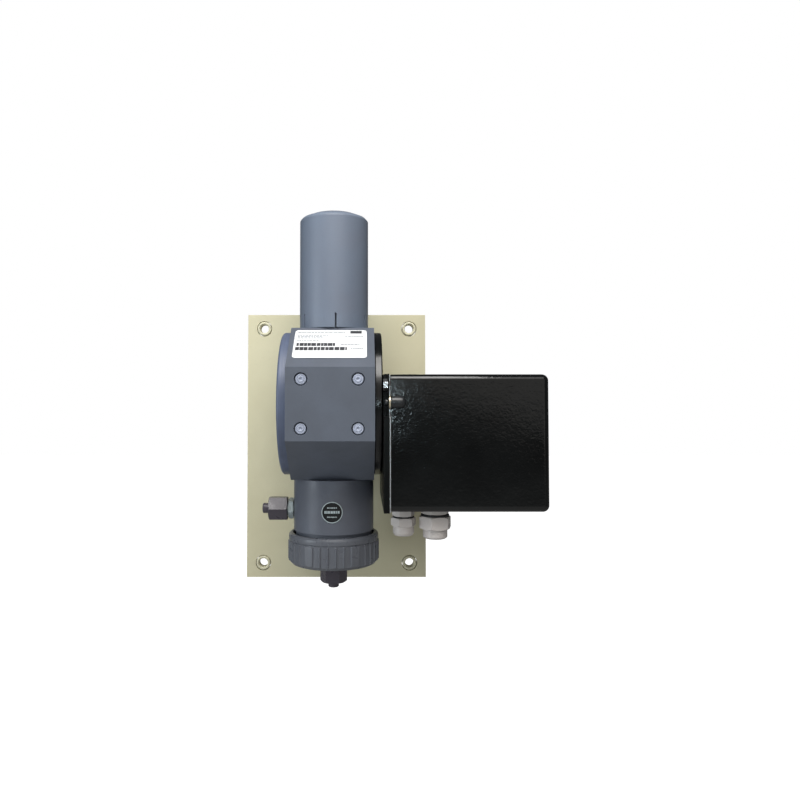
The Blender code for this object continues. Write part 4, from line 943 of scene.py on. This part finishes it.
def make_drive_cover():
    lo, hi = span("drive_cover")
    wall, radius, gland_y = 2.0, 5.5, -45.0
    shell = round_box(lo.x, hi.x, lo.y, hi.y, lo.z, hi.z, radius)
    hollow = round_box(
        lo.x - 50, hi.x - wall, lo.y + wall, hi.y - wall, lo.z + wall, hi.z - wall, radius - wall
    )
    cuts = [hollow]
    glands = {
        "gland_small": {"x": 63.2, "thread_r": 7.7, "body_flats": 17.5, "nut_flats": 19.5, "seal": 1.0,
                        "turn": 8.0, "nut_end": -107.0, "ring_r": 9.3, "ring_end": -113.0, "lip_r": 8.0},
        "gland_large": {"x": 91.1, "thread_r": 9.7, "body_flats": 22.5, "nut_flats": 25.5, "seal": 1.6,
                        "turn": 14.0, "nut_end": -109.5, "ring_r": 10.8, "ring_end": -116.5, "lip_r": 9.6},
    }
    for gland in glands.values():
        hole = turned(rod(lo.z - 1, lo.z + wall + 1, gland["thread_r"] + 0.3), "Z")
        cuts.append(shifted(hole, gland["x"], gland_y, 0))
    piece("cover_shell", boolean(shell, cuts), ENAMEL, "drive_cover", "cover", bevel=0.25)
    for name, gland in glands.items():
        make_gland(name, gland, (gland["x"], gland_y, 0.0), lo.z)


def make_gland(name, gland, at, face_z):
    """A cable gland: a hexagon body through the wall, a nut with a ring and a lip, and a seal between."""
    bore, thread_r, ring_r, lip_r = 2.6, gland["thread_r"], gland["ring_r"], gland["lip_r"]
    nut_end, ring_end, seal_t = gland["nut_end"], gland["ring_end"], gland["seal"]
    lo, hi = span(f"{name}_body")
    nut_lo, nut_hi = span(f"{name}_nut")
    barrel = turned(thread(lo.z, hi.z, thread_r, bore, 1.5, 0.5), "Z")
    collar = hex_nut("Z", nut_hi.z + 0.3, face_z - 0.3, gland["body_flats"], bore + 0.5, gland["turn"],
                     (True, False))
    body = boolean(collar, [barrel], "UNION")
    piece(f"{name}_collar", shifted(body, *at), GLAND, f"{name}_body", "cover", bevel=0.2)
    ring = [
        (nut_end + 0.4, 0.0), (nut_end + 0.4, ring_r), (nut_end - 0.6, ring_r), (nut_end - 0.8, ring_r - 0.3),
        (nut_end - 1.4, ring_r - 0.3), (nut_end - 1.6, ring_r), (ring_end, ring_r),
        (nut_lo.z + 0.5, lip_r + 0.2), (nut_lo.z, lip_r - 0.6), (nut_lo.z, 0.0),
    ]
    flats = hex_nut("Z", nut_end, nut_hi.z - seal_t, gland["nut_flats"], 0.0, gland["turn"])
    nut = boolean(flats, [lathe(ring[::-1], 0.4, "Z", 96)], "UNION")
    inside = turned(rod(nut_end + 1.2, nut_hi.z + 1.0, thread_r + 0.3), "Z")
    mouth = nut_lo.z - 1.0
    way = turned([(mouth, 0.0), (mouth, lip_r - 2.2), (nut_lo.z + 1.5, bore + 1.2), (nut_lo.z + 2.5, bore),
                  (nut_end + 2.0, bore), (nut_end + 2.0, 0.0)], "Z")
    nut = boolean(nut, [inside, way])
    piece(f"{name}_cap", shifted(nut, *at), GLAND, f"{name}_nut", f"{name}_nut", bevel=0.35)
    seal_r = gland["nut_flats"] / 2.0 - 0.3
    seal = soften(tube(nut_hi.z - seal_t, nut_hi.z - 0.02, seal_r, thread_r + 0.3), 0.4)
    piece(f"{name}_seal", shifted(turned(seal, "Z", 96), *at), RUBBER, None, f"{name}_nut")


def make_gear_train():
    for node, look in (("rotor_wheel", GEAR_BRASS), ("idler_gear", GEAR_BRASS), ("motor_pinion", WIRE)):
        dress(node, look, 0.1)
    dress("gear_bracket", SHEET, 0.4)
    lo, hi = span("idler_shaft")
    z, radius = (lo.z + hi.z) / 2, (hi.z - lo.z) / 2
    shaft = soften(pin(lo.x, hi.x, radius, 0.5), 0.2)
    piece("idler_pin", shifted(turned(shaft, "X"), 0, 0, z), STEEL, "idler_shaft")


def make_motor():
    lo, hi = span("motor")
    z, radius, end_r, hole = (lo.z + hi.z) / 2, (hi.z - lo.z) / 2, 19.0, 3.3
    can = [
        (lo.x + 11.1, 0.0), (lo.x + 11.1, hole), (lo.x, hole), (lo.x, 7.0), (lo.x + 0.8, 7.4),
        (lo.x + 0.8, radius - 3.0), (lo.x + 0.2, radius - 1.0), (lo.x + 1.2, radius), (lo.x + 6.0, radius),
        (lo.x + 6.4, radius - 0.4), (lo.x + 7.4, radius - 0.4), (lo.x + 7.8, radius), (hi.x - 8.0, radius),
        (hi.x - 6.0, end_r + 0.2), (hi.x - 6.0, end_r), (hi.x - 1.0, end_r), (hi.x, end_r - 1.0), (hi.x, 8.0),
        (hi.x - 1.0, 7.6), (hi.x - 1.0, 0.0),
    ]
    shape = lathe(can, 0.35, "X", FINE)
    piece("motor_can", shifted(shape, 0, 0, z), SHEET, "motor")
    lo, hi = span("terminal_block")
    ways = 6
    step = (hi.z - lo.z) / ways
    cuts = []
    for k in range(ways):
        middle = lo.z + step * (k + 0.5)
        cuts.append(shifted(turned(rod(hi.x - 5.0, hi.x + 1.0, 2.0), "X", 48), 0, (lo.y + hi.y) / 2, middle))
        cuts.append(slab(lo.x + 3.0, hi.x - 4.0, lo.y - 1.0, lo.y + 4.0, middle - 2.3, middle + 2.3))
        if k:
            z = lo.z + step * k
            cuts.append(slab(hi.x - 1.2, hi.x + 1.0, lo.y - 1, hi.y + 1, z - 0.4, z + 0.4))
    block = boolean(slab(lo.x, hi.x, lo.y, hi.y, lo.z, hi.z), cuts)
    piece("terminal_strip", block, ROLLER, "terminal_block", bevel=0.3)


def make_rotor():
    lo, hi = span("rotor_shaft")
    radius = (hi.z - lo.z) / 2
    shaft = soften(pin(lo.x, hi.x, radius, 0.6), 0.2)
    piece("drive_shaft", turned(shaft, "X"), STEEL, "rotor_shaft", "rotor")
    lo, hi = span("rotor_hub")
    flange_r, core_r, hub_bore, cheek, pitch_r, pin_hole = (hi.z - lo.z) / 2, 14.0, 4.3, 3.0, 29.5, 3.0
    hub = [
        (lo.x, hub_bore), (lo.x, flange_r - 0.6), (lo.x + 0.6, flange_r), (lo.x + cheek, flange_r),
        (lo.x + cheek, core_r), (hi.x - cheek, core_r), (hi.x - cheek, flange_r), (hi.x - 0.6, flange_r),
        (hi.x, flange_r - 0.6), (hi.x, hub_bore),
    ]
    rollers = 3
    angles = [2.0 * math.pi * k / rollers for k in range(rollers)]
    places = [(pitch_r * math.cos(a), pitch_r * math.sin(a)) for a in angles]
    holes = [shifted(turned(rod(lo.x - 1, hi.x + 1, pin_hole), "X", 48), 0, y, z) for y, z in places]
    for k in range(rollers):
        a = 2.0 * math.pi * (k + 0.5) / rollers
        y, z = 23.0 * math.cos(a), 23.0 * math.sin(a)
        holes.append(shifted(turned(rod(lo.x - 1, lo.x + cheek + 0.5, 5.5), "X"), 0, y, z))
        holes.append(shifted(turned(rod(hi.x - cheek - 0.5, hi.x + 1, 5.5), "X"), 0, y, z))
    hub = boolean(turned(hub, "X", FINE, start=0.01), holes)
    piece("rotor_body", hub, ALLOY, "rotor_hub", "rotor", bevel=0.25)
    for k, (y, z) in enumerate(places, 1):
        lo, hi = span(f"roller_pin_{k}")
        r = (hi.z - lo.z) / 2
        axle = shifted(lathe(pin(lo.x, hi.x, r, 0.5), 0.15, "X", 48), 0, y, z)
        piece(f"pin_{k}", axle, STEEL, f"roller_pin_{k}", "rotor")
        lo, hi = span(f"roller_{k}")
        r = (hi.z - lo.z) / 2
        wheel = [
            (lo.x, 3.0), (lo.x, 5.6), (lo.x + 0.8, 6.0), (lo.x + 0.8, r - 1.6), (lo.x, r - 1.2),
            (lo.x + 1.2, r), (hi.x - 1.2, r), (hi.x, r - 1.2), (hi.x - 0.8, r - 1.6), (hi.x - 0.8, 6.0),
            (hi.x, 5.6), (hi.x, 3.0),
        ]
        wheel = shifted(lathe(wheel, 0.3, "X", 96), 0, y, z)
        piece(f"roller_wheel_{k}", wheel, ROLLER, f"roller_{k}", f"roller_{k}")
    for node in ("front_raceway", "rear_raceway"):
        dress(node, ROLLER, 0.3)
    dress("pump_hose", HOSE)


# ---- Stage, lights and camera ----


def aim(obj, target):
    obj.rotation_euler = (Vector(target) - obj.location).to_track_quat("-Z", "Y").to_euler()


def area_light(name, at, target, width, height, radiance, colour):
    """A soft box that the camera doesn't see, as bright as radiance says."""
    data = bpy.data.lights.new(name, "AREA")
    data.shape = "RECTANGLE"
    data.size, data.size_y = width, height
    data.energy = radiance * math.pi * width * height
    data.color = colour
    light = new_object(name, data)
    light.location = at
    light.visible_camera = False
    aim(light, target)
    return light


def make_world(to_camera, to_surfaces, to_gloss):
    """White behind the object, and a dim even light on it."""
    world = bpy.data.worlds.new("studio")
    bpy.context.scene.world = world
    world.use_nodes = True
    tree = world.node_tree
    background = tree.nodes["Background"]
    ray = add_node(tree, "LightPath").outputs
    dim = add_node(tree, "Mix", [("Factor", ray["Is Glossy Ray"]), ("A", to_surfaces), ("B", to_gloss)])
    inputs = [("Factor", ray["Is Camera Ray"]), ("A", dim.outputs["Result"]), ("B", to_camera)]
    seen = add_node(tree, "Mix", inputs)
    feed(tree, background.inputs["Strength"], seen.outputs["Result"])
    feed(tree, background.inputs["Color"], (1.0, 1.0, 1.0, 1.0))


def make_floor():
    """A pale floor a hand's width below the part, uneven in shade. It glows for the camera alone."""
    below, half = 0.12, 3.0
    z = CAD_BOUNDS[0].z - below
    shape = bmesh.new()
    corners = ((-half, -half), (half, -half), (half, half), (-half, half))
    shape.faces.new([shape.verts.new((x, y, z)) for x, y in corners])
    mesh = new_mesh("floor", shape)
    made, tree, shader = new_material("floor_paint", (0.45, 0.45, 0.45), 0.6, specular=0.1)
    shade = ranged(tree, noise(tree, 3.0, 3.0), 0.0, 1.0)
    feed(tree, shader.inputs["Base Color"], mixed(tree, shade, (0.43, 0.43, 0.43), (0.47, 0.47, 0.47)))
    feed(tree, shader.inputs["Emission Color"], (1.0, 1.0, 1.0, 1.0))
    feed(tree, shader.inputs["Emission Strength"], add_node(tree, "LightPath").outputs["Is Camera Ray"])
    mesh.materials.append(made)
    new_object("floor", mesh)


def make_camera():
    data = bpy.data.cameras.new("camera")
    data.lens, data.sensor_width = 30.58, 36.0
    data.shift_x, data.shift_y = 0.0468, -0.0306
    data.clip_start, data.clip_end = 0.02, 50.0
    camera = new_object("camera", data)
    pitch_up_deg = 2.02
    camera.location = place(27.26, -647.85, 3.70)
    camera.rotation_euler = (math.radians(90.0 + pitch_up_deg), 0.0, 0.0)
    bpy.context.scene.camera = camera


def make_lights():
    make_world(to_camera=1.0, to_surfaces=0.17, to_gloss=0.08)
    area_light("key", (0.02, -0.46, 0.66), (0.0, -0.05, 0.06), 0.45, 0.45, 7.4, (1.0, 0.985, 0.96))
    area_light("ceiling", (0.10, -1.10, 1.20), (0.05, -0.05, 0.0), 1.6, 0.8, 1.7, (1.0, 0.98, 0.95))
    area_light("window", (-1.10, -0.75, 0.05), (0.0, -0.09, 0.0), 0.3, 0.8, 7.0, (0.84, 0.93, 1.0))
    area_light("front_strip", (0.030, -1.30, 0.060), (0.03, -0.1, 0.05), 0.035, 0.06, 60.0, (0.74, 0.92, 1.0))
    warm = (1.0, 0.95, 0.90)
    panel = area_light("dim_ceiling", (0.35, -1.60, 0.58), (0.30, -0.1, 0.0), 2.2, 1.05, 0.45, warm)
    panel.rotation_euler = (math.radians(90.0), math.radians(16.0), 0.0)


def main():
    steps = (
        make_plate, make_block, make_label, make_side_covers, make_pressure_unit, make_neck, make_side_outlet,
        make_inlet, make_union, make_flange, make_drive_cover, make_gear_train, make_motor, make_rotor,
        make_floor, make_camera, make_lights,
    )
    for make in steps:
        make()
    bpy.context.scene.view_settings.view_transform = "Standard"


main()
